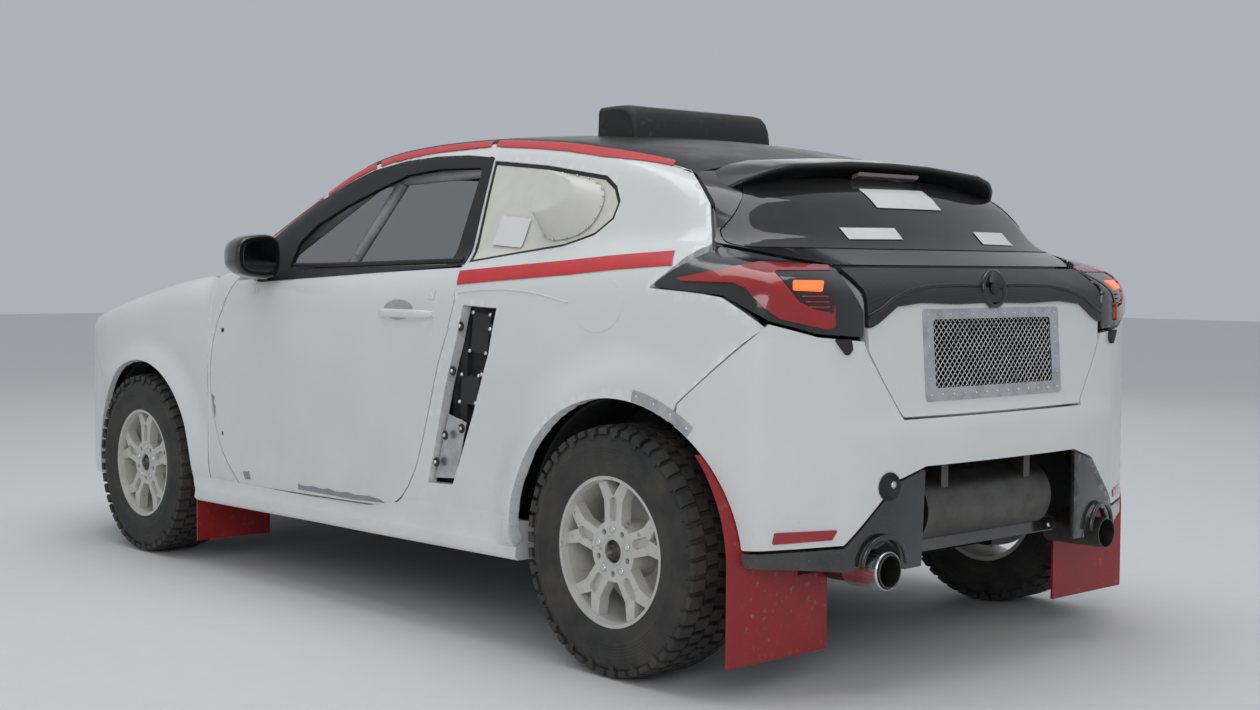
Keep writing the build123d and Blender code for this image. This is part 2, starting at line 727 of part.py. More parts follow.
save(without(whole_floor, ahead), "floor_pan")
middle = block(0, NOSE, -PAN_Y, PAN_Y, 0, 2000)
rear_room = block(0, FRONT_AXLE, PAN_Y + SEAM, 1000, 0, 2000)
front_room = block(FRONT_AXLE + SEAM, NOSE, PAN_Y + SEAM, 1000, 0, 2000)
save(in_sections(part_of(whole_floor, ahead), middle, rear_room, front_room), "front_pan")

# Side skirts, intake plates and fuel flap
skirt = outline_prism(
    [(770, 226), (866, 226), (872, 240), (872, 268), (858, 304), (800, 304)], {}, Plane.YZ.offset(-1050), 1800
)
skirt_room = [front_arch, rear_arch, outer]
save(pair(without(skirt, *skirt_room)), "side_skirts")
flap_room = part_of(block(FLAP_X - 200, FLAP_X + 200, 822, 1000, 800, 1100), outer)
save(part_of(flap_room, cross_cylinder(FLAP_X, FLAP_Z, FLAP_R, 700, 1000)), "fuel_flap")
intake_plate = part_of(side_prism(INTAKE, SIDE_Y - SKIN + 4, SIDE_Y - SKIN + 8, shift=SEAT_GAP), outer)
save(pair(intake_plate), "intake_plates")

# Door mirrors
mirror_shell = outline_prism(
    [(862, 1010), (978, 1000), (984, 1060), (960, 1118), (880, 1126), (862, 1100)], {}, Plane.YZ.offset(286), 112
)
mirror_stalk = outline_prism(
    [(790, 958), (846, 958), (905, 1005), (900, 1030), (862, 1024), (790, 1000)], {}, Plane.YZ.offset(300), 60
)
with BuildPart() as mirror_left:
    add(mirror_shell)
    chamfer(mirror_left.faces().sort_by(Axis.X)[-1].edges(), 24)
    add(mirror_stalk)
    add(outer, mode=Mode.SUBTRACT)
    add(door_left, mode=Mode.SUBTRACT)
save(mirror_left.part, "mirror_left")
save(flipped(mirror_left.part), "mirror_right")


def wheel_tyre():
    """One tyre about the Y axis, its middle at the origin."""
    half = TYRE_WIDTH / 2
    lip = RIM_WIDTH / 2
    profile = [
        (SEAT_R + SEAT_GAP, -lip + 9),
        (RIM_R + 2, -lip + 9),
        (RIM_R + 6, -lip + 2),
        (264, -half),
        (300, -half + 4),
        (TYRE_R - 4, -half + 20),
        (TYRE_R, -half + 32),
    ]
    points = profile + [(r, -w) for r, w in reversed(profile)]
    with BuildPart() as made:
        with BuildSketch(Plane.XY):
            with BuildLine():
                trace(points, {2: 3, 3: 3})
            make_face()
        revolve(axis=Axis.Y)
    return made.part


def wheel_barrel():
    """One rim's barrel about the Y axis."""
    lip = RIM_WIDTH / 2
    profile = [
        (SEAT_R - BARREL_WALL, -lip),
        (RIM_R, -lip),
        (RIM_R, -lip + 8),
        (SEAT_R, -lip + 9),
        (SEAT_R, lip - 9),
        (RIM_R, lip - 8),
        (RIM_R, lip),
        (SEAT_R - 6, lip),
        (SEAT_R - BARREL_WALL, lip - 20),
    ]
    with BuildPart() as made:
        with BuildSketch(Plane.XY):
            with BuildLine():
                trace(profile, {})
            make_face()
        revolve(axis=Axis.Y)
    return made.part


def wheel_spider():
    """The forked spokes and hub that seat in the barrel, with the brake disc behind them."""
    with BuildPart() as made:
        with BuildSketch(Plane.XZ.offset(-SPOKE_OUT)):
            Circle(78)
            with PolarLocations(0, SPOKES, start_angle=90):
                Polygon(*SPOKE, align=None)
                Polygon(*[(x, -y) for x, y in SPOKE], align=None)
        extrude(amount=SPOKE_OUT - SPOKE_IN)
        with BuildSketch(Plane.XZ.offset(-SPOKE_OUT)):
            Circle(SEAT_R - BARREL_WALL)
        extrude(amount=SPOKE_OUT - SPOKE_IN, mode=Mode.INTERSECT)
        with BuildSketch(Plane.XZ.offset(-SPOKE_OUT)):
            with PolarLocations(108, SPOKES, start_angle=90):
                SlotOverall(62, 26)
        extrude(amount=SPOKE_POCKET, mode=Mode.SUBTRACT)
        with BuildSketch(Plane.XZ.offset(-SPOKE_IN)):
            Circle(76)
        extrude(amount=SPOKE_IN - DISC_OUT)
        with BuildSketch(Plane.XZ.offset(-DISC_OUT)):
            Circle(BRAKE_R)
        extrude(amount=DISC_THICK)
        with BuildSketch(Plane.XZ.offset(-RIM_WIDTH)):
            with PolarLocations(LUG_CIRCLE / 2, SPOKES, start_angle=90 + 180 / SPOKES):
                Circle(LUG_R)
        extrude(amount=RIM_WIDTH - SPOKE_IN, mode=Mode.SUBTRACT)
        with BuildSketch(Plane.XZ.offset(-RIM_WIDTH)):
            Circle(BORE_R)
        extrude(amount=2 * RIM_WIDTH, mode=Mode.SUBTRACT)
    return made.part


WHEELS = [
    ("fl", FRONT_AXLE, TRACK_FRONT / 2),
    ("fr", FRONT_AXLE, -TRACK_FRONT / 2),
    ("rl", REAR_AXLE, TRACK_REAR / 2),
    ("rr", REAR_AXLE, -TRACK_REAR / 2),
]
tyre = wheel_tyre()
rim = Compound(children=[wheel_barrel(), wheel_spider()])
for name, x, y in WHEELS:
    place = Location((x, y, TYRE_R))
    save((tyre if y > 0 else flipped(tyre)).moved(place), f"tyre_{name}")
    save((rim if y > 0 else flipped(rim)).moved(place), f"rim_{name}")

# Front knuckle and strut on the left, which turn together about the steering axis
hub_in = TRACK_FRONT / 2 + DISC_OUT - DISC_THICK
spindle_end = TRACK_FRONT / 2 + SPOKE_OUT - 6
with BuildPart() as knuckle_left:
    add(cross_cylinder(FRONT_AXLE, TYRE_R, BORE_R - SEAT_GAP, hub_in - 50, spindle_end))
    add(cross_cylinder(FRONT_AXLE, TYRE_R, 58, hub_in - 68, hub_in - 8))
    add(block(FRONT_AXLE - 20, FRONT_AXLE + 20, BALL_Y - 30, BALL_Y - 2, BALL_Z + 24, TYRE_R))
    add(rod(tuple(ball - lean * 12), tuple(ball + lean * 40), 9))
    add(rod(tuple(ball + lean * 24), tuple(ball + lean * 46), 22))
    add(rod(tuple(ball + lean * 150), tuple(strut_top), 18))
    add(rod(tuple(strut_top - lean * 36), tuple(strut_top), STRUT_R))
save(knuckle_left.part, "knuckle_left")
save(flipped(knuckle_left.part), "knuckle_right")

# Front subframe with its lower arms
arm_eye = rod(tuple(ball - lean * 8), tuple(ball + lean * 8), 22)
arm_bore = rod(tuple(ball - lean * 40), tuple(ball + lean * 60), 9 + SEAT_GAP)
arm_front = rod((FRONT_AXLE + 120, 360, 212), (FRONT_AXLE, BALL_Y, BALL_Z), 13)
arm_rear = rod((FRONT_AXLE - 120, 360, 212), (FRONT_AXLE, BALL_Y, BALL_Z), 13)
arm_left = without(joined(arm_front, arm_rear, arm_eye), arm_bore)
subframe = block(FRONT_AXLE - 150, FRONT_AXLE + 150, -380, 380, 192, SILL_Z)
save(joined(subframe, arm_left, flipped(arm_left)), "front_subframe")

# Rear axle: a carrier and spindle at each end of a cross tube
rear_hub_in = TRACK_REAR / 2 + DISC_OUT - DISC_THICK
carrier = joined(
    cross_cylinder(REAR_AXLE, TYRE_R, BORE_R - SEAT_GAP, rear_hub_in - 50, TRACK_REAR / 2 + SPOKE_OUT - 6),
    cross_cylinder(REAR_AXLE, TYRE_R, 58, rear_hub_in - 68, rear_hub_in - 8),
    block(REAR_AXLE - 26, REAR_AXLE + 26, rear_hub_in - 68, rear_hub_in - 40, 180, TYRE_R),
    rod((REAR_AXLE, rear_hub_in - 54, TYRE_R), (REAR_AXLE, 622, 706), 18),
)
cross_tube = cross_cylinder(REAR_AXLE, 205, 22, -rear_hub_in + 50, rear_hub_in - 50)
axle_mounts = [block(REAR_AXLE - 40, REAR_AXLE + 40, y - 30, y + 30, 200, SILL_Z) for y in (-380, 380)]
save(joined(carrier, flipped(carrier), cross_tube, *axle_mounts), "rear_axle")

# Engine, exhaust, rear beam and mud flaps
save(block(-1300, -760, -340, 340, SILL_Z + SKIN, 780), "engine_block")
with BuildPart() as silencer:
    add(cross_cylinder(-1845, 425, 92, -270, 270))
    for side in (-1, 1):
        add(rod((TAIL + 14, side * TIP_Y, TIP_Z), (-1800, side * TIP_Y, TIP_Z), TIP_R))
        add(rod((-1822, side * TIP_Y, TIP_Z), (-1840, side * 240, 400), 24))
        add(block(-1918, -1880, side * 180 - 14, side * 180 + 14, 440, BEAM_Z - SEAT_GAP))
    for side in (-1, 1):
        add(rod((TAIL + 13, side * TIP_Y, TIP_Z), (-1830, side * TIP_Y, TIP_Z), TIP_R - TIP_WALL), mode=Mode.SUBTRACT)
save(silencer.part, "exhaust")
beam_bar = part_of(block(-1925, -1900, -800, 800, BEAM_Z, BEAM_Z + 80), inner)
save(beam_bar, "rear_beam")
flap_x = ARCH_REAR_X - ARCH_R + SEAT_GAP
flap_rear = joined(
    block(flap_x, flap_x + FLAP_THICK, WELL_IN_REAR + 6, 850, 88, ARCH_REAR_Z + 8),
    block(flap_x, flap_x + FLAP_THICK, 495, WELL_IN_REAR + 6, 88, 286),
    part_of(
        without(
            cross_cylinder(ARCH_REAR_X, ARCH_REAR_Z, ARCH_R - SEAT_GAP, 610, 850),
            cross_cylinder(ARCH_REAR_X, ARCH_REAR_Z, ARCH_R - FLAP_THICK, 600, 860),
        ),
        block(-2000, ARCH_REAR_X - 200, 0, 1000, ARCH_REAR_Z, 590),
    ),
)
flap_front_x = FRONT_AXLE - ARCH_R + SEAT_GAP
flap_front = block(flap_front_x, flap_front_x + FLAP_THICK, 565, 850, 84, ARCH_FRONT_Z)
save(Compound(children=[flap_rear, flipped(flap_rear), flap_front, flipped(flap_front)]), "mud_flaps")

# Interior: seats, dashboard with wheel, and roll cage
seat_side = [(60, 330), (60, 500), (-200, 520), (-300, 620), (-430, 1010), (-560, 1010), (-450, 400), (-420, 330)]
seat_shell = [(60, 330), (60, 430), (-290, 400), (-350, 440), (-490, 1080), (-575, 1085), (-450, 400), (-420, 330)]
seat = joined(
    side_prism(seat_shell, 180, 560),
    side_prism(seat_side, 150, 185),
    side_prism(seat_side, 555, 590),
    block(-360, 0, 200, 240, SILL_Z + SKIN, 335),
    block(-360, 0, 500, 540, SILL_Z + SKIN, 335),
)
save(pair(seat), "seats")
dash = side_prism([(590, 790), (590, 960), (500, 975), (380, 930), (340, 830), (360, 790)], -670, 670)
with BuildPart() as steering_ring:
    with BuildSketch(Plane((250, 370, 850), x_dir=(0, 1, 0), z_dir=(-0.92, 0, 0.39))):
        Circle(172)
        Circle(146, mode=Mode.SUBTRACT)
        Rectangle(310, 30)
        Circle(34)
    extrude(amount=12, both=True)
    add(rod((250, 370, 850), (400, 370, 786 + 30), 20))
save(joined(dash, steering_ring.part), "dashboard")
cage_side = tube(
    [
        (-560, 545, 1330),
        (90, 545, 1312),
        (430, 668, 1085),
        (505, 700, 930),
        (505, 700, SILL_Z + SKIN),
    ],
    19,
    60,
)
cage_hoop = tube(
    [
        (-560, 715, SILL_Z + SKIN),
        (-560, 715, 980),
        (-560, 545, 1330),
        (-560, -545, 1330),
        (-560, -715, 980),
        (-560, -715, SILL_Z + SKIN),
    ],
    19,
    60,
)
save(joined(cage_hoop, cage_side, flipped(cage_side)), "roll_cage")
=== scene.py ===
"""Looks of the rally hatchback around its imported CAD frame. Metres; +X forward, +Y left, +Z up."""

import math

import bmesh
import bpy
import numpy as np
from mathutils import Matrix, Vector
from mathutils.geometry import delaunay_2d_cdt


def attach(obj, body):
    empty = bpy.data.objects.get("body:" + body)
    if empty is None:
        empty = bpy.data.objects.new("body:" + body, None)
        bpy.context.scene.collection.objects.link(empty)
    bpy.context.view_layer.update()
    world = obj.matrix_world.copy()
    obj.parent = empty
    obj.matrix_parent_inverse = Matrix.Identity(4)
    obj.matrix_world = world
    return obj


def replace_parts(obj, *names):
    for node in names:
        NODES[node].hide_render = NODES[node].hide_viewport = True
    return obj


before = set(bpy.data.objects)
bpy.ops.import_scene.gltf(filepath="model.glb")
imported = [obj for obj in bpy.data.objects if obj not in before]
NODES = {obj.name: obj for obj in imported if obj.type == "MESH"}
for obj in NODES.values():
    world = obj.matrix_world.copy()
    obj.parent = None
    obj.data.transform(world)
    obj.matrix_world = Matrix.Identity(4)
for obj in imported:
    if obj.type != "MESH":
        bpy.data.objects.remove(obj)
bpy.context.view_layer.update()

NOSE, TAIL = 1.9975, -1.9975
FRONT_AXLE, REAR_AXLE = 1.1575, -1.4025
ARCH_R = 0.388
ARCH_FRONT = (FRONT_AXLE, 0.305)
ARCH_REAR = (-1.4105, 0.322)
FLARE_FRONT, FLARE_REAR = (0.032, 0.08), (0.050, 0.15)
ROOF_TOP, ROOF_RADIUS_ACROSS = 1.455, 4.5
ROOF_CHORD_MM, ROOF_SAG_MM = 1745.8, 81.4
ROOF_SAG = 0.0814
CABIN_LOW, CABIN_HEIGHT = 0.985, 0.475
DIRT = (0.33, 0.29, 0.24)
NOSE_START, TAIL_START = 1.2, -1.2
WEAVE_PER_METRE = 1500.0
SKIRT_FRONT, SKIRT_REAR = 0.764, -1.018
FLAP_CENTRE, FLAP_HALF = (-1.305, 0.945), (0.094, 0.072)
HANDLE_MID, HANDLE_HALF = -0.466, 0.131
CUP_CENTRE, CUP_HALF = (-0.42, 0.912), (0.075, 0.030)
MESH_PITCH, MESH_WIRE = 0.0195, 0.0014
MESH_HALF, MESH_LOW, MESH_HIGH = 0.268, 0.730, 0.926
TIP_CENTRE = (0.476, 0.318)
WHEEL_Z, TREAD_R, PITCHES, TYRE_STEPS = 0.322, 0.3215, 46, 96
NUT_CIRCLE, NUT_COUNT = 0.05715, 5
MIRROR_Y, MIRROR_Z = 0.899, 1.068
BLOCK_FACES = ((0, 1, 5, 4), (1, 2, 6, 5), (2, 3, 7, 6), (3, 0, 4, 7), (3, 2, 1, 0), (4, 5, 6, 7))


# Materials
class Nodes:
    """Short way to wire one procedural material."""

    def __init__(self, name):
        self.mat = bpy.data.materials.new(name)
        self.mat.use_nodes = True
        self.tree = self.mat.node_tree
        self.shader = self.tree.nodes["Principled BSDF"]
        self.coords = self.tree.nodes.new("ShaderNodeTexCoord").outputs["Object"]

    def node(self, kind, **sockets):
        made = self.tree.nodes.new(kind)
        for key, value in sockets.items():
            self.put(made.inputs[key.replace("_", " ")], value)
        return made

    def put(self, socket, value):
        if isinstance(value, bpy.types.NodeSocket):
            self.tree.links.new(value, socket)
        else:
            socket.default_value = value

    def noise(self, scale, detail=4.0, rough=0.5):
        made = self.node("ShaderNodeTexNoise", Scale=scale, Detail=detail, Roughness=rough)
        self.put(made.inputs["Vector"], self.coords)
        return made.outputs["Fac"]

    def ramp(self, fac, low, high, a=0.0, b=1.0):
        made = self.node("ShaderNodeMapRange")
        made.clamp = True
        sockets = {"Value": fac, "From Min": low, "From Max": high, "To Min": a, "To Max": b}
        for key, value in sockets.items():
            self.put(made.inputs[key], value)
        return made.outputs["Result"]

    def math(self, what, a, b=0.0):
        made = self.tree.nodes.new("ShaderNodeMath")
        made.operation = what
        self.put(made.inputs[0], a)
        self.put(made.inputs[1], b)
        return made.outputs[0]

    def mix(self, fac, a, b):
        made = self.tree.nodes.new("ShaderNodeMix")
        made.data_type = "RGBA"
        self.put(made.inputs[0], fac)
        self.put(made.inputs[6], (*a, 1) if isinstance(a, tuple) and len(a) == 3 else a)
        self.put(made.inputs[7], (*b, 1) if isinstance(b, tuple) and len(b) == 3 else b)
        return made.outputs[2]

    def axis(self, which):
        made = self.node("ShaderNodeSeparateXYZ")
        self.put(made.inputs[0], self.coords)
        return made.outputs[which]

    def bump(self, height, strength, distance):
        made = self.node("ShaderNodeBump", Strength=strength, Distance=distance, Height=height)
        self.put(self.shader.inputs["Normal"], made.outputs["Normal"])

    def set(self, **sockets):
        for key, value in sockets.items():
            name = key.replace("_", " ")
            if name == "Base Color" and isinstance(value, tuple):
                value = (*value[:3], 1)
            self.put(self.shader.inputs[name], value)
        return self.mat


def near(n, scale, low, high):
    """A patchy mask from a noise of one scale."""
    return n.ramp(n.noise(scale, 6.0, 0.6), low, high)


def paint(name, color, rough=0.28, coat=0.6, dirt_amount=0.5, chips=(0.42, 0.42, 0.4)):
    """Car paint with dust near the ground, fine speckles and small chips."""
    n = Nodes(name)
    z = n.axis(2)
    low = n.ramp(z, 0.75, 0.18)
    speck = near(n, 260.0, 0.63, 0.7)
    film = near(n, 5.0, 0.35, 0.75)
    dust = n.math("MULTIPLY", n.math("ADD", n.math("MULTIPLY", film, 0.35), n.math("MULTIPLY", speck, 0.9)),
                  low)
    dust = n.math("MULTIPLY", dust, dirt_amount)
    tint = near(n, 2.2, 0.3, 0.7)
    base = n.mix(tint, color, tuple(c * 0.94 for c in color))
    base = n.mix(dust, base, DIRT)
    chip = n.math("MULTIPLY", near(n, 60.0, 0.72, 0.74), n.ramp(z, 0.62, 0.3))
    base = n.mix(chip, base, chips)
    n.bump(n.noise(900.0, 2.0), 0.03, 0.0006)
    rough_map = n.math("ADD", n.ramp(film, 0, 1, rough, rough + 0.08), n.math("MULTIPLY", dust, 0.4))
    return n.set(Base_Color=base, Roughness=rough_map, Coat_Weight=coat, Coat_Roughness=0.08, IOR=1.5)


def plain(name, color, rough=0.5, metal=0.0, grain=400.0, depth=0.0004, wear=None, coat=0.0,
          spread=0.12, **more):
    """A moulded, cast or rubber surface with grain, patchy colour and scuffs."""
    n = Nodes(name)
    patch = near(n, 14.0, 0.3, 0.7)
    base = n.mix(patch, tuple(c * (1 - spread) for c in color),
                 tuple(min(1, c * (1 + spread)) for c in color))
    if wear:
        scuff = n.math("MULTIPLY", near(n, 45.0, 0.58, 0.68), near(n, 7.0, 0.45, 0.6))
        base = n.mix(scuff, base, wear)
    n.bump(n.noise(grain, 3.0), 0.25, depth)
    rough_map = n.ramp(patch, 0, 1, max(0.02, rough - 0.05), min(1, rough + 0.07))
    return n.set(Base_Color=base, Roughness=rough_map, Metallic=metal, Coat_Weight=coat, **more)


def brushed(name, color, rough=0.32):
    """Bare rolled metal with fine lengthwise lines and stains."""
    n = Nodes(name)
    stretch = n.node("ShaderNodeMapping")
    stretch.inputs["Scale"].default_value = (8, 8, 500)
    n.put(stretch.inputs["Vector"], n.coords)
    lines = n.node("ShaderNodeTexNoise", Scale=2.0, Detail=4.0)
    n.put(lines.inputs["Vector"], stretch.outputs[0])
    stain = near(n, 18.0, 0.45, 0.7)
    base = n.mix(stain, color, tuple(c * 0.72 for c in color))
    n.bump(lines.outputs["Fac"], 0.15, 0.0004)
    return n.set(Base_Color=base, Roughness=n.ramp(lines.outputs["Fac"], 0.3, 0.7, rough, rough + 0.15),
                 Metallic=1.0)


def carbon(name, rough=(0.42, 0.55), shine=0.25):
    """Black twill with its own specular level and no coat layer."""
    n = Nodes(name)
    x, y = n.axis(0), n.axis(1)
    a = n.math("SINE", n.math("MULTIPLY", n.math("ADD", x, y), WEAVE_PER_METRE))
    b = n.math("SINE", n.math("MULTIPLY", n.math("SUBTRACT", x, y), WEAVE_PER_METRE))
    weave = n.math("MULTIPLY", a, b)
    base = n.mix(n.ramp(weave, -1, 1), (0.012, 0.012, 0.014), (0.03, 0.03, 0.033))
    n.bump(weave, 0.08, 0.0003)
    return n.set(Base_Color=base, Roughness=n.ramp(near(n, 9.0, 0.3, 0.7), 0, 1, *rough),
                 Specular_IOR_Level=shine)


def glass(name, color, alpha):
    """Dark or clear glazing with faint smears."""
    n = Nodes(name)
    smear = near(n, 6.0, 0.4, 0.7)
    base = n.mix(smear, color, tuple(min(1, c * 1.2 + 0.004) for c in color))
    n.bump(n.noise(60.0), 0.01, 0.0004)
    n.mat.surface_render_method = "BLENDED"
    return n.set(Base_Color=base, Roughness=n.ramp(smear, 0, 1, 0.02, 0.07), IOR=1.5, Alpha=alpha,
                 Specular_IOR_Level=0.5, Coat_Weight=0.3, Coat_Roughness=0.02)


WHITE = paint("white_paint", (0.80, 0.81, 0.80))
BLACK_GLOSS = paint("black_gloss_paint", (0.012, 0.012, 0.013), 0.16, 0.8, dirt_amount=0.6,
                    chips=(0.05, 0.05, 0.05))
ROOF_BLACK = carbon("carbon_roof")
CARBON = carbon("carbon_garnish", (0.24, 0.34), 0.5)
WING_BLACK = plain("wing_black", (0.011, 0.011, 0.012), 0.34, grain=90.0, depth=0.0002)
MATTE = plain("black_plastic", (0.018, 0.018, 0.019), 0.55, wear=(0.05, 0.05, 0.05))
TRIM = plain("black_weatherstrip", (0.01, 0.01, 0.01), 0.42, grain=250.0)
DARK = plain("dark_inner", (0.022, 0.022, 0.024), 0.75, wear=(0.06, 0.05, 0.045))
GREY = plain("grey_inner_paint", (0.42, 0.43, 0.44), 0.45, wear=(0.2, 0.2, 0.2))
CAGE = plain("cage_paint", (0.55, 0.56, 0.57), 0.35, wear=(0.3, 0.3, 0.3), coat=0.3)
RED_TAPE = plain("red_tape", (0.62, 0.020, 0.026), 0.40, grain=120.0, depth=0.0002, coat=0.2)
RED_FLAP = plain("red_mud_flap", (0.33, 0.012, 0.014), 0.42, grain=160.0, wear=(0.3, 0.12, 0.1), coat=0.1)
ALLOY = brushed("bare_aluminium", (0.66, 0.67, 0.68))
STEEL = brushed("polished_steel", (0.75, 0.75, 0.76), 0.18)
DARK_STEEL = brushed("heat_darkened_steel", (0.16, 0.15, 0.14), 0.4)
SILVER = plain("silver_paint", (0.62, 0.63, 0.64), 0.35, 0.6, wear=(0.35, 0.35, 0.35))
CREAM = plain("cream_panel", (0.72, 0.70, 0.62), 0.42, grain=60.0, depth=0.0005, spread=0.05, coat=0.1)
STICKER = plain("blank_sticker", (0.80, 0.80, 0.78), 0.3, grain=90.0, depth=0.0002, spread=0.03, coat=0.3)
RIM = plain("rim_paint", (0.60, 0.58, 0.54), 0.45, wear=(0.28, 0.24, 0.2), spread=0.1)
CLOTH = plain("seat_cloth", (0.03, 0.03, 0.034), 0.9, grain=700.0, depth=0.0008)
MIRROR = brushed("mirror_glass", (0.55, 0.57, 0.6), 0.06)
SCREEN = glass("clear_screen", (0.06, 0.075, 0.07), alpha=0.42)
REAR_PANE = glass("dark_rear_glass", (0.030, 0.033, 0.035), alpha=0.9)
LAMP_RED = plain("lamp_red", (0.36, 0.002, 0.006), 0.2, grain=30.0, depth=0.0003, coat=1.0)
LAMP_LIT = plain("lamp_lit", (0.9, 0.12, 0.03), 0.2, coat=1.0, Emission_Color=(1, 0.12, 0.02, 1),
                 Emission_Strength=1.4)
LAMP_DARK = plain("lamp_inside", (0.02, 0.004, 0.004), 0.12, 0.3, grain=50.0, coat=1.0)
LAMP_PALE = plain("brake_light_lens", (0.22, 0.16, 0.16), 0.2, grain=90.0, coat=1.0)
LAMP_CLEAR = plain("lamp_clear", (0.62, 0.64, 0.66), 0.08, 0.3, grain=50.0, coat=1.0)


def tyre_material():
    """Dusty rubber."""
    n = Nodes("tyre_rubber")
    dust = near(n, 12.0, 0.3, 0.75)
    base = n.mix(n.math("MULTIPLY", dust, 0.55), (0.016, 0.016, 0.016), (0.12, 0.105, 0.09))
    n.bump(n.noise(350.0, 3.0), 0.3, 0.0008)
    return n.set(Base_Color=base, Roughness=n.ramp(dust, 0, 1, 0.6, 0.85))


TYRE = tyre_material()


# Shape of the body as smooth fields
def smax(a, b, k):
    """Larger of two fields, rounded where they meet."""
    h = np.clip(k - np.abs(a - b), 0, None) / k
    return np.maximum(a, b) + h * h * k / 4


def smin(a, b, k):
    """Smaller of two fields, rounded where they meet."""
    return -smax(-a, -b, k)


def arc(a, b, rise):
    """Points on the arc from a to b that bulges by rise to the right of its way."""
    a, b = np.array(a, float), np.array(b, float)
    t = np.linspace(0, 1, 24)[:, None]
    chord = b - a
    length = np.hypot(*chord)
    side = np.array([chord[1], -chord[0]]) / length
    radius = (length ** 2 / 4 + rise ** 2) / (2 * rise)
    along = (t - 0.5) * length
    out = np.sqrt(radius ** 2 - along ** 2) * np.sign(rise) - (radius - rise)
    return a + chord * t + side * out


def curve(points, soft=0.0):
    """A height over its first coordinate, softened over a width."""
    pts = np.array(sorted(map(tuple, points)))
    grid = np.linspace(pts[0, 0], pts[-1, 0], 1200)
    vals = np.interp(grid, pts[:, 0], pts[:, 1])
    n = int(soft / (grid[1] - grid[0])) | 1
    if n > 1:
        pad = n // 2
        head = 2 * vals[0] - vals[1:pad + 1][::-1]
        rear = 2 * vals[-1] - vals[-pad - 1:-1][::-1]
        kernel = np.hanning(n + 2)[1:-1]
        vals = np.convolve(np.concatenate([head, vals, rear]), kernel / kernel.sum(), "valid")
    return lambda v: np.interp(v, grid, vals)


nose_arc = [(p[1], p[0]) for p in arc((1.9255, 0.47), (1.5, 0.842), 0.1)]
FRONT_X = curve([(0, NOSE), (0.16, NOSE - 0.008), (0.32, NOSE - 0.033)] + nose_arc + [(0.9, 1.2), (1.1, 0.2)],
                0.05)
REAR_X = curve([(0, TAIL), (0.2, TAIL + 0.007), (0.4, TAIL + 0.03), (0.56, -1.9395), (0.803, -1.8265),
                (0.856, -1.64), (0.92, -1.1), (1.1, 0.4)], 0.09)
HALF_X = curve([(-2.1, 0.856), (-1.1, 0.856), (0.9, 0.852), (1.5, 0.842), (2.1, 0.83)], 0.3)
HALF_Z = curve([(0.0, 0.76), (0.232, 0.798)]
               + [tuple(p[::-1]) for p in arc((0.798, 0.232), (0.856, 0.48), 0.026)]
               + [tuple(p[::-1]) for p in arc((0.856, 0.69), (0.800, 1.11), 0.014)] + [(1.5, 0.735)], 0.05)
TOP_Z = curve([tuple(p) for p in arc((1.86, 0.8), (0.89, 1.03), 0.03)]
              + [(0.536, 1.026), (-0.676, 1.084), (-1.3, 1.118), (-1.56, 1.12), (-1.8, 1.085), (-1.9, 1.06),
                 (-2.2, 0.98), (2.1, 0.7)], 0.16)
NOSE_X = curve([(0.0, 1.80), (0.12, 1.8775), (0.25, 1.9575), (0.43, NOSE), (0.58, NOSE), (0.72, 1.9475),
                (0.8, 1.86), (1.2, 1.4)], 0.05)
TAIL_X = curve([(0.0, -1.96), (0.33, -1.9915), (0.56, TAIL), (0.655, -1.9815), (0.69, -1.948), (0.88, -1.932),
                (1.0, -1.925), (1.06, -1.862), (1.1, -1.78), (1.2, -1.5)], 0.02)


def crown(y, z, top, radius):
    """Height on the car's middle that a point at y and z belongs to."""
    return np.hypot(y, z - top + radius) + top - radius


def swell(x, z, centre, rise, width):
    """Outward push of a wheel arch flare at a point of the side."""
    r = np.hypot(x - centre[0], z - centre[1])
    t = np.clip((ARCH_R + width - r) / width, 0, 1)
    return rise * t * t * (3 - 2 * t)


def f_body(x, y, z):
    """Below zero inside the lower body."""
    y = np.abs(y)
    zc = crown(y, z, 1.0, 9.0)
    side = smax(y - HALF_X(x), y - HALF_Z(z), 0.02) + 0.004
    side = side - swell(x, z, ARCH_FRONT, *FLARE_FRONT) - swell(x, z, ARCH_REAR, *FLARE_REAR)
    ends = smax((x - FRONT_X(y)) * 0.85, (REAR_X(y) - x) * 0.85, 0.02)
    f = smax(side, ends, np.where(x < 0, np.interp(z, [0.74, 0.86], [0.05, 0.10]), 0.05))
    f = smax(f, (x - NOSE_X(zc)) * 0.95, 0.04)
    f = smax(f, TAIL_X(zc) - x, 0.05)
    return smax(f, (zc - TOP_Z(x)) * 0.97, np.interp(x, [1.2, 1.6], [0.10, 0.05]))


def cabin_corner(z, low, high):
    """Place of a cabin corner at a height."""
    t = np.maximum(z - CABIN_LOW, 0) / CABIN_HEIGHT
    return low[0] + (high[0] - low[0]) * t, low[1] + (high[1] - low[1]) * t


ROOF_ARC = (ROOF_CHORD_MM / 2) ** 2 / (2 * ROOF_SAG_MM) / 1000 + 0.0407


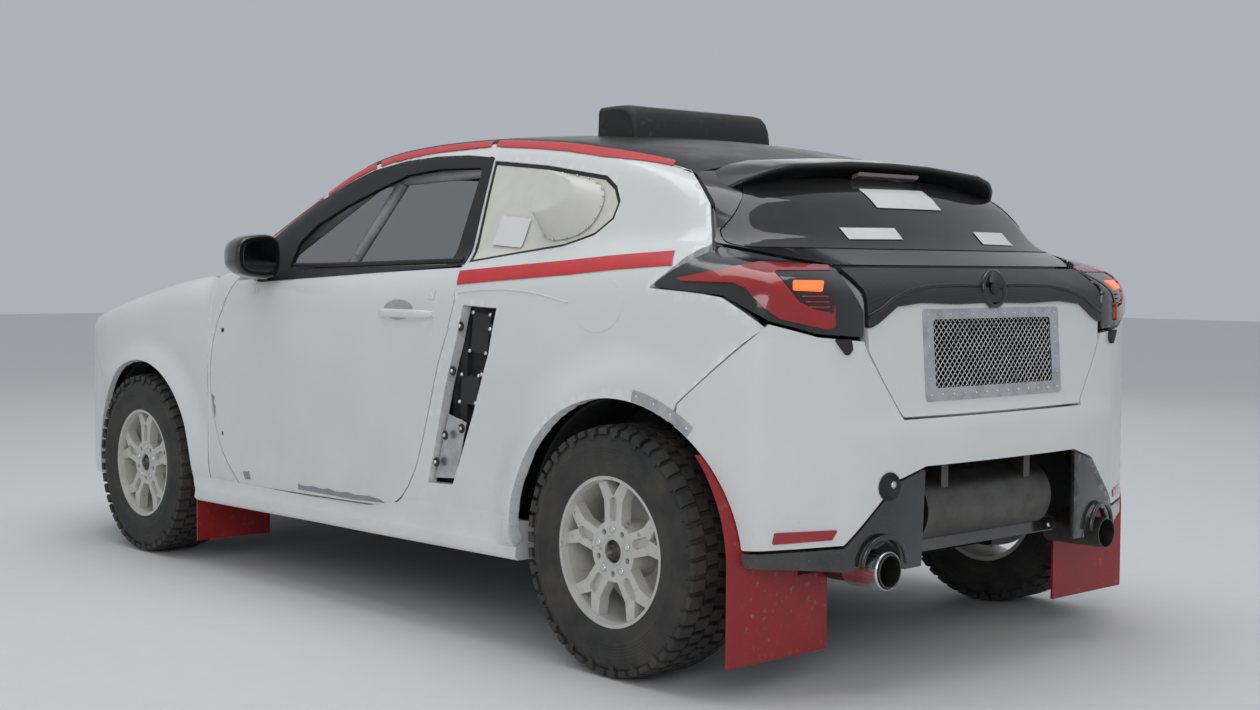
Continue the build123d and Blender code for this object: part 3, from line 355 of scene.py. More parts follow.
def f_cabin(x, y, z):
    """Below zero inside the cabin."""
    y = np.abs(y)
    fx, fy = cabin_corner(z, (0.732, 0.828), (-0.040, 0.577))
    rx, ry = cabin_corner(z, (-1.669, 0.748), (-1.380, 0.565))
    sx, _ = cabin_corner(z, (0.930, 0), (0.217, 0))
    bx, _ = cabin_corner(z, (-1.880, 0), (-1.430, 0))
    side = (y - (fy + (x - fx) / (rx - fx) * (ry - fy))) * 0.88
    rise = sx - fx
    radius = (fy ** 2 + rise ** 2) / (2 * rise)
    front = (np.hypot(x - sx + radius, y) - radius) * 0.55
    sag = rx - bx
    radius = (ry ** 2 + sag ** 2) / (2 * sag)
    back = (np.hypot(x - bx - radius, y) - radius) * 0.70
    zc = crown(y, z, ROOF_TOP, ROOF_RADIUS_ACROSS)
    mid = (-0.5525 - 0.0304 * -(ROOF_ARC - ROOF_SAG), 1.3715 - (ROOF_ARC - ROOF_SAG) * 0.9995)
    over = np.hypot(x - mid[0], zc - mid[1]) - ROOF_ARC
    slope = (zc - (1.345 - (-1.425 - x) * 0.3143)) * 0.954
    f = smax(side, front, 0.07)
    f = smax(f, back, 0.09)
    f = smax(f, over, 0.06)
    f = smax(f, slope, 0.05)
    return smax(f, (0.93 - z) * 0.9, 0.04)


def f_all(x, y, z):
    """The lower body and the cabin with a hollow where they meet."""
    return smin(f_body(x, y, z), f_cabin(x, y, z), 0.05)


def cast(field, start, way, near_t, far_t):
    """Distance along each ray at which it leaves the field."""
    low = np.full(len(start), near_t)
    high = np.full(len(start), far_t)
    for _ in range(22):
        mid = (low + high) / 2
        p = start + way * mid[:, None]
        inside = field(p[:, 0], p[:, 1], p[:, 2]) < 0
        low = np.where(inside, mid, low)
        high = np.where(inside, high, mid)
    return start + way * low[:, None]


class Roll:
    """Unrolls a side: along the car and round a low axis in it, with rays that fan out behind the doors."""

    height, scale, fan_x, fan, stretch = 0.62, 0.85, -0.85, 2.0, 2.6

    def flat(self, p):
        reach = math.hypot(p[1], p[2] - self.height) * self.fan
        x = p[0] if p[0] > self.fan_x else self.fan_x + (p[0] - self.fan_x) / (1 + reach) * self.stretch
        return (x, math.atan2(p[2] - self.height, p[1]) * self.scale)

    def rays(self, uv):
        a = uv[:, 1] / self.scale
        zero = np.zeros(len(uv))
        behind_fan = np.minimum(uv[:, 0] - self.fan_x, 0) / self.stretch
        start_x = np.maximum(uv[:, 0], self.fan_x) + behind_fan
        way = np.stack([behind_fan * self.fan, np.cos(a), np.sin(a)], 1)
        return (np.stack([start_x, zero, zero + self.height], 1), way, 0.2, 1.6)


class Wrap:
    """Unrolls an end: round an upright axis, and up."""

    def __init__(self, centre, scale):
        self.centre, self.scale = centre, scale

    def flat(self, p):
        back = -1 if self.centre < 0 else 1
        return (math.atan2(p[1], back * (p[0] - self.centre)) * self.scale, p[2])

    def rays(self, uv):
        a = uv[:, 0] / self.scale
        back = -1 if self.centre < 0 else 1
        zero = np.zeros(len(uv))
        return (np.stack([zero + self.centre, zero, uv[:, 1]], 1),
                np.stack([back * np.cos(a), np.sin(a), zero], 1), 0.05, 1.6)


class Drop:
    """Seen from above."""

    def flat(self, p):
        return (p[0], p[1])

    def rays(self, uv):
        zero = np.zeros(len(uv))
        return (np.stack([uv[:, 0], uv[:, 1], zero + 0.4], 1), np.stack([zero, zero, zero + 1], 1), 0.1, 1.4)


class Back:
    """Seen along the car from behind, or from ahead."""

    def __init__(self, start, sign, far):
        self.start, self.sign, self.far = start, sign, far

    def flat(self, p):
        return (p[1], p[2])

    def rays(self, uv):
        zero = np.zeros(len(uv))
        return (np.stack([zero + self.start, uv[:, 0], uv[:, 1]], 1),
                np.stack([zero + self.sign, zero, zero], 1), 0.0, self.far)


def side(points, field=f_all):
    """Points given as (x, z) placed on the left side."""
    pts = np.array(points, float)
    start = np.stack([pts[:, 0], np.full(len(pts), 0.2), pts[:, 1]], 1)
    hit = cast(field, start, np.tile([0.0, 1.0, 0.0], (len(pts), 1)), 0.0, 0.9)
    return [tuple(p) for p in hit]


def toward(points, start, sign, field=f_all):
    """Points given as (y, z) placed on the surface ahead of or behind a start."""
    pts = np.array(points, float)
    begin = np.stack([np.full(len(pts), start), pts[:, 0], pts[:, 1]], 1)
    hit = cast(field, begin, np.tile([float(sign), 0.0, 0.0], (len(pts), 1)), 0.0, 1.2)
    return [tuple(p) for p in hit]


def ahead(points, field=f_all):
    """Points given as (y, z) placed on the nose."""
    return toward(points, NOSE_START, 1, field)


def behind(points):
    """Points given as (y, z) placed on the tail."""
    return toward(points, TAIL_START, -1)


def above(points, field=f_all):
    """Points given as (x, y) placed on the top."""
    pts = np.array(points, float)
    begin = np.stack([pts[:, 0], pts[:, 1], np.full(len(pts), 0.5)], 1)
    hit = cast(field, begin, np.tile([0.0, 0.0, 1.0], (len(pts), 1)), 0.0, 1.2)
    return [tuple(p) for p in hit]


def whole(half):
    """A half outline on the left closed by its mirror image on the right."""
    return list(half) + [(x, -y, z) for x, y, z in reversed(list(half))]


def moved(points, shift):
    """Points moved by a shift."""
    return [tuple(np.array(q) + shift) for q in points]


def raised(points, height):
    """Points of the surface moved outward."""
    return [tuple(np.array(q) + np.array(slope(q)) * height) for q in points]


def oval(centre, half, angles):
    """Points on an oval at angles in radians."""
    return [(centre[0] + half[0] * math.cos(t), centre[1] + half[1] * math.sin(t)) for t in angles]


def ring(centre, radius, start, end, count=28):
    """Side points (x, z) on an arc, by degrees from the front over the top."""
    return [(centre[0] + radius * math.cos(math.radians(a)), centre[1] + radius * math.sin(math.radians(a)))
            for a in np.linspace(start, end, count)]


def inside(points, polygon):
    """Which points lie in a polygon."""
    x, y = points[:, 0], points[:, 1]
    result = np.zeros(len(points), bool)
    for (ax, ay), (bx, by) in zip(polygon, np.roll(polygon, -1, axis=0)):
        cross = (ay > y) != (by > y)
        with np.errstate(divide="ignore", invalid="ignore"):
            at = ax + (y - ay) * (bx - ax) / (by - ay)
        result ^= cross & (x < at)
    return result


def area(polygon):
    """Signed area."""
    x, y = polygon[:, 0], polygon[:, 1]
    return 0.5 * np.sum(x * np.roll(y, -1) - y * np.roll(x, -1))


def shrink(polygon, amount):
    """A polygon with each edge moved inward."""
    polygon = polygon[np.linalg.norm(polygon - np.roll(polygon, 1, axis=0), axis=1) > 1e-4]
    if amount == 0:
        return polygon
    if area(polygon) < 0:
        polygon = polygon[::-1]
    before, after = np.roll(polygon, 1, axis=0), np.roll(polygon, -1, axis=0)
    a, b = polygon - before, after - polygon
    a /= np.maximum(np.linalg.norm(a, axis=1, keepdims=True), 1e-9)
    b /= np.maximum(np.linalg.norm(b, axis=1, keepdims=True), 1e-9)
    na, nb = np.stack([-a[:, 1], a[:, 0]], 1), np.stack([-b[:, 1], b[:, 0]], 1)
    k = 1 + np.sum(na * nb, axis=1, keepdims=True)
    return polygon + (na + nb) * amount / np.maximum(k, 0.35)


def rounded(polygon, radius):
    """A polygon whose sharp corners are cut by short curves."""
    if radius == 0:
        return polygon
    result = []
    count = len(polygon)
    for i in range(count):
        p, q, r = polygon[i - 1], polygon[i], polygon[(i + 1) % count]
        a, b = p - q, r - q
        la, lb = np.linalg.norm(a), np.linalg.norm(b)
        turn = math.acos(max(-1, min(1, float(np.dot(a, b) / (la * lb)))))
        if turn > math.radians(158):
            result.append(q)
            continue
        cut = min(radius / math.tan(max(turn, 0.05) / 2), la * 0.45, lb * 0.45)
        s, e = q + a / la * cut, q + b / lb * cut
        for t in np.linspace(0, 1, 7):
            result.append((1 - t) ** 2 * s + 2 * t * (1 - t) * q + t * t * e)
    return np.array(result)


def dense(polygon, step):
    """A polygon with points added along its edges."""
    result = []
    for a, b in zip(polygon, np.roll(polygon, -1, axis=0)):
        n = max(1, int(math.ceil(np.linalg.norm(b - a) / step)))
        result += [a + (b - a) * k / n for k in range(n)]
    return np.array(result)


def new_object(name, verts, faces, materials, smooth=True):
    """A mesh object at the origin."""
    mesh = bpy.data.meshes.new(name)
    mesh.from_pydata([tuple(map(float, v)) for v in verts], [], [tuple(map(int, f)) for f in faces])
    mesh.validate()
    for m in materials if isinstance(materials, (list, tuple)) else [materials]:
        mesh.materials.append(m)
    if smooth:
        mesh.polygons.foreach_set("use_smooth", [True] * len(mesh.polygons))
    obj = bpy.data.objects.new(name, mesh)
    bpy.context.collection.objects.link(obj)
    return obj


def face_outward(obj):
    """Turns every face of a closed mesh outward."""
    bm = bmesh.new()
    bm.from_mesh(obj.data)
    bmesh.ops.recalc_face_normals(bm, faces=bm.faces)
    bm.to_mesh(obj.data)
    bm.free()


def settle(obj):
    """Turns an object's modifiers into its mesh."""
    graph = bpy.context.evaluated_depsgraph_get()
    mesh = bpy.data.meshes.new_from_object(obj.evaluated_get(graph))
    obj.modifiers.clear()
    obj.data = mesh
    return obj


def thicken(obj, depth, bevel, inner):
    """Gives a sheet its thickness inward, the material slot of its inner face, and fine rounded edges."""
    solid = obj.modifiers.new("solid", "SOLIDIFY")
    solid.thickness, solid.offset = depth, -1
    solid.material_offset = inner
    if bevel:
        mod = obj.modifiers.new("bevel", "BEVEL")
        mod.width, mod.segments, mod.limit_method, mod.angle_limit = bevel, 2, "ANGLE", math.radians(50)
    obj.modifiers.new("normal", "WEIGHTED_NORMAL").keep_sharp = True
    return settle(obj)


def mirrored(obj, name, body):
    """The same piece on the other side."""
    mesh = obj.data.copy()
    mesh.transform(Matrix.Diagonal((1, -1, 1, 1)))
    mesh.flip_normals()
    copy = bpy.data.objects.new(name, mesh)
    bpy.context.collection.objects.link(copy)
    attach(copy, body)
    return copy


def sheet(name, field, way, outline, materials, body=None, holes=(), step=0.022, gap=0.002, corner=0.004,
          depth=0.012, lift=0.0, inner=0, bevel=0.0015, edge=None):
    """A panel cut from a smooth surface, with thickness."""
    loop = dense(rounded(shrink(np.array([way.flat(p) for p in outline]), gap), corner), edge or step * 0.6)
    gaps = [dense(rounded(shrink(np.array([way.flat(p) for p in h]), -gap), corner), edge or step * 0.6)
            for h in holes]
    low, high = loop.min(0), loop.max(0)
    us, vs = np.arange(low[0], high[0], step), np.arange(low[1], high[1], step * 0.87)
    grid = np.array([(u + (step / 2 if j % 2 else 0), v) for j, v in enumerate(vs) for u in us])
    keep = inside(grid, loop)
    for g in gaps:
        keep &= ~inside(grid, g)
    grid = grid[keep]
    rims = np.concatenate([loop] + gaps)
    if len(grid):
        far = np.ones(len(grid), bool)
        for k in range(0, len(rims), 400):
            d = np.linalg.norm(grid[:, None] - rims[None, k:k + 400], axis=2)
            far &= d.min(1) > step * 0.45
        grid = grid[far]
    coords = np.concatenate([rims, grid]) if len(grid) else rims
    edges, at = [], 0
    for g in [loop] + gaps:
        edges += [(at + i, at + (i + 1) % len(g)) for i in range(len(g))]
        at += len(g)
    verts, _, faces, *_ = delaunay_2d_cdt([Vector(c) for c in coords], edges, [], 0, 1e-7, False)
    uv = np.array([tuple(v) for v in verts])
    tri = np.array(faces)
    mid = uv[tri].mean(1)
    keep = inside(mid, loop)
    for g in gaps:
        keep &= ~inside(mid, g)
    tri = tri[keep]
    start, direction, near_t, far_t = way.rays(uv)
    pos = cast(field, start, direction, near_t, far_t)
    normal = np.cross(pos[tri[:, 1]] - pos[tri[:, 0]], pos[tri[:, 2]] - pos[tri[:, 0]])
    if np.sum(normal * direction[tri[:, 0]]) < 0:
        tri = tri[:, ::-1]
    if lift:
        pos = pos + direction / np.linalg.norm(direction, axis=1)[:, None] * lift
    obj = new_object(name, pos, tri, materials)
    thicken(obj, depth, bevel, inner)
    if body:
        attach(obj, body)
    return obj


def shrink_side(points, amount):
    """An outline on the side, moved inward and placed on the surface."""
    return side([tuple(q) for q in shrink(np.array(points, float), amount)])


def side_sheet(name, points, materials, body=None, **how):
    """A panel on the side, its outline given as (x, z)."""
    return sheet(name, f_all, SIDE, side(points), materials, body, **how)


def decal(name, way, outline, material, body=None, corner=0, **how):
    """A thin layer that lies on the surface."""
    return sheet(name, f_all, way, outline, material, body, gap=0, bevel=0, corner=corner, **how)


SIDE = Roll()

# Outline of the door seen from the side, from its lower front corner upward
DOOR = [(0.505, 0.303), (0.60, 0.405), (0.632, 0.454), (0.668, 0.534), (0.684, 0.615), (0.685, 0.699),
        (0.668, 0.78), (0.637, 0.855), (0.59, 0.925), (0.536, 0.992), (0.20, 1.004), (-0.25, 1.022),
        (-0.675, 1.040), (-0.691, 0.94), (-0.668, 0.85), (-0.631, 0.762), (-0.598, 0.657), (-0.56, 0.545),
        (-0.524, 0.449), (-0.489, 0.398), (-0.45, 0.36), (-0.403, 0.333), (-0.32, 0.321), (-0.217, 0.318)]
WINDOW = [(0.405, 0.985), (0.468, 1.099), (0.377, 1.173), (0.259, 1.243), (0.133, 1.297), (-0.007, 1.342),
          (-0.158, 1.365), (-0.314, 1.373), (-0.471, 1.370), (-0.588, 1.359), (-0.646, 1.042)]
PANE = [(0.240, 1.045), (0.242, 1.105), (0.188, 1.157), (0.067, 1.215), (-0.068, 1.264), (-0.202, 1.306),
        (-0.353, 1.319), (-0.550, 1.315), (-0.573, 1.059)]
QUARTER = [(-0.609, 1.349), (-0.851, 1.326), (-1.120, 1.287), (-1.173, 1.257), (-1.205, 1.216),
           (-1.201, 1.170), (-1.147, 1.128), (-1.038, 1.097), (-0.673, 1.052)]
RAIL = [(0.62, 0.80, 1.01), (0.493, 0.758, 1.127), (0.407, 0.715, 1.208), (0.149, 0.650, 1.331),
        (0.017, 0.628, 1.373), (-0.101, 0.605, 1.397), (-0.284, 0.590, 1.414), (-0.558, 0.585, 1.416),
        (-0.895, 0.590, 1.394), (-1.170, 0.595, 1.355), (-1.395, 0.595, 1.322)]
HATCH_SIDE = [(-1.526, 0.650, 1.216), (-1.600, 0.72, 1.115), (-1.560, 0.80, 1.050)]
HATCH_EDGE = [(-1.585, 0.694, 1.103), (-1.563, 0.672, 1.124), (-1.546, 0.657, 1.148), (-1.531, 0.645, 1.176),
              (-1.517, 0.632, 1.204), (-1.487, 0.623, 1.233), (-1.454, 0.609, 1.258), (-1.419, 0.590, 1.280),
              (-1.40, 0.575, 1.296)]
INTAKE = [(-0.735, 0.930), (-0.885, 0.925), (-0.862, 0.80), (-0.80, 0.64), (-0.705, 0.425), (-0.590, 0.420),
          (-0.62, 0.53), (-0.67, 0.70), (-0.715, 0.83)]

aperture = side(DOOR[:10] + [(0.50, 1.045), (0.468, 1.099)] + WINDOW[2:] + [(-0.660, 1.041)] + DOOR[13:])
quarter_outline = (side([(0.70, 0.285), (-1.0225, 0.285), (-1.0225, 0.322)] + ring(ARCH_REAR, ARCH_R, 2, 119)
                        + [(-1.62, 0.71), (-1.705, 0.785), (-1.795, 0.862)]) + [(-1.866, 0.802, 0.911)]
                   + side([(-1.732, 0.972), (-1.489, 0.991), (-1.54, 1.03)]) + HATCH_SIDE[::-1] + RAIL[::-1]
                   + [(0.72, 0.80, 1.004)] + side([(0.70, 0.96), (0.71, 0.70), (0.70, 0.44)]))
fender_outline = (side([(0.70, 0.285), (0.7695, 0.285), (0.7695, 0.305)]
                       + ring(ARCH_FRONT, ARCH_R, 180, 34, 40) + [(1.482, 0.56), (1.60, 0.70)])
                  + ahead([(0.79, 0.765), (0.79, 0.852), (0.60, 0.80)])
                  + above([(1.80, 0.536), (1.56, 0.64), (1.30, 0.670), (0.905, 0.716), (0.80, 0.745)])
                  + side([(0.70, 0.985), (0.70, 0.70), (0.70, 0.44)]))


def both(obj, left_body="body"):
    """Puts a left piece on its body and adds the right one."""
    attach(obj, left_body)
    return obj, mirrored(obj, obj.name.replace("_left", "_right"), left_body.replace("left_", "right_"))


def finish_mesh(obj, body, bevel=0.0, angle=40, smooth=True):
    """Rounds a hand-built solid's edges and puts it on its body."""
    if bevel:
        mod = obj.modifiers.new("bevel", "BEVEL")
        mod.width, mod.segments, mod.limit_method, mod.angle_limit = bevel, 3, "ANGLE", math.radians(angle)
    if smooth:
        obj.modifiers.new("normal", "WEIGHTED_NORMAL").keep_sharp = True
    settle(obj)
    if body:
        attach(obj, body)
    return obj


def loft(name, rings, materials, body=None, caps=True, **finish):
    """A skin through rings of points, with flat ends."""
    rings = np.array(rings, float)
    rows, count = rings.shape[:2]
    faces = []
    for i in range(rows - 1):
        for j in range(count):
            a, b = i * count + j, i * count + (j + 1) % count
            faces.append((a, b, b + count, a + count))
    if caps:
        faces += [tuple(range(count))[::-1], tuple(range((rows - 1) * count, rows * count))]
    obj = new_object(name, rings.reshape(-1, 3), faces, materials)
    face_outward(obj)
    return finish_mesh(obj, body, **finish)


def boxy(name, low, high, materials, body=None, bevel=0.002, **finish):
    """A block with rounded edges between two corners."""
    (x0, y0, z0), (x1, y1, z1) = low, high
    ring = [(x0, y0), (x1, y0), (x1, y1), (x0, y1)]
    return loft(name, [[(x, y, z) for x, y in ring] for z in (z0, z1)], materials, body, bevel=bevel,
                **finish)


def lathe(name, centre, axis, profile, materials, body=None, count=64, **finish):
    """A shape turned about an axis; the profile is (along, radius)."""
    axis = Vector(axis).normalized()
    first = axis.orthogonal().normalized()
    second = axis.cross(first)
    rings = []
    for along, radius in profile:
        rings.append([Vector(centre) + axis * along + (first * math.cos(t) + second * math.sin(t)) * radius
                      for t in np.linspace(0, 2 * math.pi, count, endpoint=False)])
    return loft(name, rings, materials, body, **finish)


def tubing(name, points, radius, materials, body=None, count=14, **finish):
    """A round bar through points."""
    pts = [Vector(p) for p in points]
    rings, side_way = [], None
    for i, p in enumerate(pts):
        way = (pts[min(i + 1, len(pts) - 1)] - pts[max(i - 1, 0)]).normalized()
        side_way = way.orthogonal() if side_way is None else side_way - way * side_way.dot(way)
        side_way = side_way.normalized()
        up = way.cross(side_way)
        rings.append([p + (side_way * math.cos(t) + up * math.sin(t)) * radius
                      for t in np.linspace(0, 2 * math.pi, count, endpoint=False)])
    return loft(name, rings, materials, body, **finish)


def group(name, objects, body):
    """Several meshes as one piece."""
    bm = bmesh.new()
    for obj in objects:
        if obj.data.materials[:] != objects[0].data.materials[:]:
            raise ValueError(name)
        bm.from_mesh(obj.data)
    mesh = bpy.data.meshes.new(name)
    bm.to_mesh(mesh)
    bm.free()
    for m in objects[0].data.materials:
        mesh.materials.append(m)
    for obj in objects:
        bpy.data.objects.remove(obj)
    made = bpy.data.objects.new(name, mesh)
    bpy.context.collection.objects.link(made)
    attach(made, body)
    return made


def flowing(points, each=4):
    """A closed smooth line through points."""
    pts = np.array(points, float)
    result = []
    for i in range(len(pts)):
        a, b, c, d = pts[i - 1], pts[i], pts[(i + 1) % len(pts)], pts[(i + 2) % len(pts)]
        for t in np.linspace(0, 1, each, endpoint=False):
            result.append(0.5 * (2 * b + (c - a) * t + (2 * a - 5 * b + 4 * c - d) * t * t
                                 + (3 * b - a - 3 * c + d) * t ** 3))
    return np.array(result)


def slope(point):
    """Outward direction of the surface at a point."""
    p, e = np.array(point, float), 0.004
    grad = [float(f_all(*(np.array([v]) for v in p + d))[0] - f_all(*(np.array([v]) for v in p - d))[0])
            for d in np.eye(3) * e]
    return Vector(grad).normalized()


def studs(name, places, radius, height, materials, body, way=None, sides=12):
    """Domed heads standing on the surface."""
    heads = []
    for place in places:
        axis = Vector(way) if way else slope(place)
        profile = [(-0.003, radius), (height * 0.3, radius), (height * 0.8, radius * 0.7),
                   (height, radius * 0.25)]
        heads.append(lathe("head", Vector(place), axis, profile, materials, count=sides, smooth=False))
    for head in heads:
        head.data.polygons.foreach_set("use_smooth", [True] * len(head.data.polygons))
    return group(name, heads, body)


quarter_skin = sheet("quarter_skin_left", f_all, SIDE, quarter_outline, [WHITE, DARK],
                     holes=[aperture, side(QUARTER), side(INTAKE)], depth=0.03, inner=1, edge=0.012)
left, right = both(quarter_skin)
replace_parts(left, "side_body_left")
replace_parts(right, "side_body_right")
left, right = both(sheet("fender_skin_left", f_all, SIDE, fender_outline, [WHITE, DARK], depth=0.02, inner=1,
                         edge=0.012))
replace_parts(left, "fenders")
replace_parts(right, "fenders")

left, right = both(side_sheet("door_skin_left", DOOR, [WHITE, DARK], depth=0.05, inner=1, gap=0.0032,
                              corner=0.012), "left_door")
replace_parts(left, "door_left")
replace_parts(right, "door_right")

# Skirts, window frames, door pane, primer patches, strips and quarter panels
skirt_rings = []
for x in np.linspace(SKIRT_FRONT, SKIRT_REAR, 60):
    top = float(np.interp(x, [-0.55, -0.22], [0.365, 0.310]))
    under = 0.227 + (SKIRT_FRONT - x) * 0.012
    y = side([(x, top)], f_body)[0][1]
    reach = min(0.868, 0.862 + 0.02 * max(0, -x))
    t = np.linspace(0, 1, 9)
    start, middle = np.array([y + 0.0015, top]), np.array([y + 0.003, 0.292])
    end = np.array([reach, under + 0.038])
    curve_points = [(1 - k) ** 2 * start + 2 * k * (1 - k) * middle + k * k * end for k in t]
    section = [tuple(c) for c in curve_points] + [(reach + 0.004, under + 0.012), (reach - 0.006, under),
                                                  (0.79, under), (0.78, top - 0.02)]
    skirt_rings.append([(x, sy, sz) for sy, sz in section])
left, right = both(loft("skirt_left", skirt_rings, [WHITE], bevel=0.0015, angle=50))
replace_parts(left, "side_skirts")
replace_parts(right, "side_skirts")
left, right = both(side_sheet("window_frame_left", WINDOW, TRIM, holes=[shrink_side(PANE, -0.016)],
                              depth=0.012, gap=-0.001, corner=0.02, lift=0.002, bevel=0.003, step=0.014))
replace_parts(left, "window_frames")
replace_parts(right, "window_frames")
pane = sheet("door_pane_left", f_all, SIDE, shrink_side(PANE, -0.017), SCREEN, depth=0.004, lift=-0.012,
             gap=0)
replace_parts(mirrored(pane, "door_pane_right", "right_door"), "door_glass_right")
bpy.data.objects.remove(pane)
PRIMER = plain("bare_primer", (0.30, 0.32, 0.34), 0.6, grain=220.0)
PRIMER_PATCHES = (
    [(0.13, 0.326), (0.125, 0.344), (0.09, 0.340), (0.04, 0.345), (-0.02, 0.341), (-0.05, 0.347),
     (-0.10, 0.340), (-0.16, 0.346), (-0.20, 0.342), (-0.27, 0.346), (-0.33, 0.343), (-0.36, 0.334),
     (-0.2, 0.327)],
    [(0.676, 0.600), (0.655, 0.590), (0.661, 0.570), (0.649, 0.560), (0.652, 0.520), (0.660, 0.535)],
    [(0.470, 0.352), (0.430, 0.356), (0.426, 0.330), (0.462, 0.326)])
for k, outline in enumerate(PRIMER_PATCHES):
    decal(f"primer_patch_{k}", SIDE, side(outline), PRIMER, "left_door", depth=0.0006, lift=0.0009,
          step=0.012)
RUBBER_RUN = [(0.225, 1.040), (0.05, 1.041), (-0.20, 1.046), (-0.45, 1.052), (-0.645, 1.057)]
both(tubing("belt_strip_left", moved(side(RUBBER_RUN), (0, 0.003, 0)), 0.008, TRIM), "left_door")
both(side_sheet("pillar_strip_left", [(-0.578, 1.363), (-0.600, 1.359), (-0.664, 1.046), (-0.640, 1.043)],
                TRIM, depth=0.02, lift=0.003, gap=0, bevel=0.003))
left, right = both(side_sheet("quarter_panel_left", QUARTER, CREAM, depth=0.004, lift=-0.004, gap=0.0005))
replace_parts(left, "quarter_windows")
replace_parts(right, "quarter_windows")
both(side_sheet("quarter_seal_left", QUARTER, TRIM, holes=[shrink_side(QUARTER, 0.006)], depth=0.006,
                lift=-0.003, gap=-0.002))

# Air scoop on the rear half of the quarter window, its rivets, and the bare sticker
flange = side([(-0.908, 1.168), (-0.966, 1.117), (-1.063, 1.122), (-1.124, 1.158), (-1.140, 1.219),
               (-1.108, 1.262), (-1.030, 1.285), (-0.915, 1.292)])
crest = side([(-0.912, 1.180), (-0.955, 1.178), (-1.000, 1.190), (-1.036, 1.212), (-1.046, 1.240),
              (-1.020, 1.262), (-0.985, 1.272), (-0.914, 1.284)])
scoop_rings = []
for t in (0.0, 0.08, 0.55, 0.85, 1.0):
    rise = {0.0: 0.0, 0.08: 0.003, 0.55: 0.030, 0.85: 0.046, 1.0: 0.050}[t]
    level = flowing([[q[0], q[2]] for q in (np.array(flange) * (1 - t) + np.array(crest) * t)])
    scoop_rings.append(raised(side(level), rise))
both(loft("quarter_scoop_left", scoop_rings, [CREAM], bevel=0.002, angle=30))
flange_line = flowing([[q[0], q[2]] for q in flange], 8)
spots = [side([tuple(flange_line[i])])[0] for i in range(6, len(flange_line) - 4, 4)]
both(studs("scoop_rivets_left", raised(spots, 0.004), 0.0035, 0.003, [STEEL], "body"))
decal("side_sticker", SIDE, side([(-0.734, 1.185), (-0.864, 1.174), (-0.866, 1.093), (-0.732, 1.102)]),
      STICKER, "body", depth=0.0008, lift=0.0015)

# Red tape
low_tape = [(-0.668, 1.027), (-0.90, 1.043), (-1.123, 1.058), (-1.505, 1.083), (-1.542, 1.046),
            (-1.35, 1.035), (-1.165, 1.020), (-0.90, 1.003), (-0.687, 0.988)]
both(decal("tape_low_left", SIDE, side(low_tape), RED_TAPE, depth=0.001, lift=0.0022, step=0.015))
TAPE = [(0.60, 0.768, 1.040), (0.493, 0.742, 1.127), (0.407, 0.708, 1.208), (0.28, 0.676, 1.272),
        (0.149, 0.650, 1.325), (0.017, 0.626, 1.366), (-0.101, 0.606, 1.388), (-0.284, 0.590, 1.404),
        (-0.558, 0.572, 1.405), (-0.895, 0.585, 1.380), (-1.100, 0.593, 1.350), (-1.315, 0.572, 1.318)]


def on_track(track, x):
    """A point of a track of points by its place along the car."""
    xs = [q[0] for q in track][::-1]
    return np.array([x] + [np.interp(x, xs, [q[k] for q in track][::-1]) for k in (1, 2)])


for k, (start, end) in enumerate(((0.60, 0.262), (0.238, 0.010), (-0.012, -0.535), (-0.560, -1.315))):
    outline = []
    for sign, reach in ((1, np.linspace(start, end, 10)), (-1, np.linspace(end, start, 10))):
        for x in reach:
            centre = on_track(TAPE, x)
            outward = slope(centre)
            along = Vector(on_track(TAPE, x - 0.01) - on_track(TAPE, x + 0.01)).normalized()
            outline.append(tuple(Vector(centre) + along.cross(outward) * 0.020 * sign + along * 0.012 * sign))
    both(decal(f"tape_top_{k}_left", SIDE, outline, RED_TAPE, depth=0.001, lift=0.0024, step=0.013))

# Fuel flap, weld line, rivet strip on the arch, handles and small stickers
flap_ring = oval(FLAP_CENTRE, FLAP_HALF, np.linspace(0, 2 * math.pi, 40)[:-1])
flap = side_sheet("fuel_flap_skin", flap_ring, WHITE, "body", depth=0.003, lift=0.0012, gap=0, corner=0,
                  bevel=0.001, edge=0.01)
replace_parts(flap, "fuel_flap")
WELD = [(-0.70, 0.966), (-0.80, 0.975), (-0.907, 0.978), (-1.0, 0.974), (-1.07, 0.967), (-1.185, 0.948)]
both(tubing("weld_line_left", moved(side(WELD), (0, 0.0005, 0)), 0.0022, [WHITE], count=8))
strip = ring(ARCH_REAR, ARCH_R + 0.004, 100, 128, 14) + ring(ARCH_REAR, ARCH_R + 0.034, 128, 100, 14)
both(side_sheet("arch_strip_left", strip, ALLOY, depth=0.0015, lift=0.0015, gap=0, bevel=0.0005))
both(studs("arch_rivets_left", side(ring(ARCH_REAR, ARCH_R + 0.019, 102, 126, 4)), 0.005, 0.004, [STEEL],
           "body"))
cup_ring = oval(CUP_CENTRE, CUP_HALF, np.linspace(0, 2 * math.pi, 24)[:-1])
both(decal("handle_cup_left", SIDE, side(cup_ring), GREY, depth=0.001, lift=0.0004), "left_door")
grip = []
for x in np.linspace(-0.335, -0.597, 15):
    t = (x - HANDLE_MID) / HANDLE_HALF
    out = 0.838 + 0.036 * (1 - abs(t) ** 4)
    half = 0.0125 * (1 - 0.35 * abs(t) ** 6)
    grip.append([(x, out + 0.008 * math.cos(a), 0.903 + half * math.sin(a))
                 for a in np.linspace(0, 2 * math.pi, 17)[:-1]])
both(loft("handle_left", grip, [WHITE], bevel=0.002), "left_door")
decal("lock_sticker", SIDE, side([(-0.565, 0.972), (-0.592, 0.972), (-0.592, 0.945), (-0.565, 0.945)]),
      STICKER, "left_door", depth=0.0006, lift=0.001)
decal("mirror_sticker", SIDE, side([(0.41, 0.965), (0.385, 0.965), (0.385, 0.942), (0.41, 0.942)]), STICKER,
      "left_door", depth=0.0006, lift=0.001)
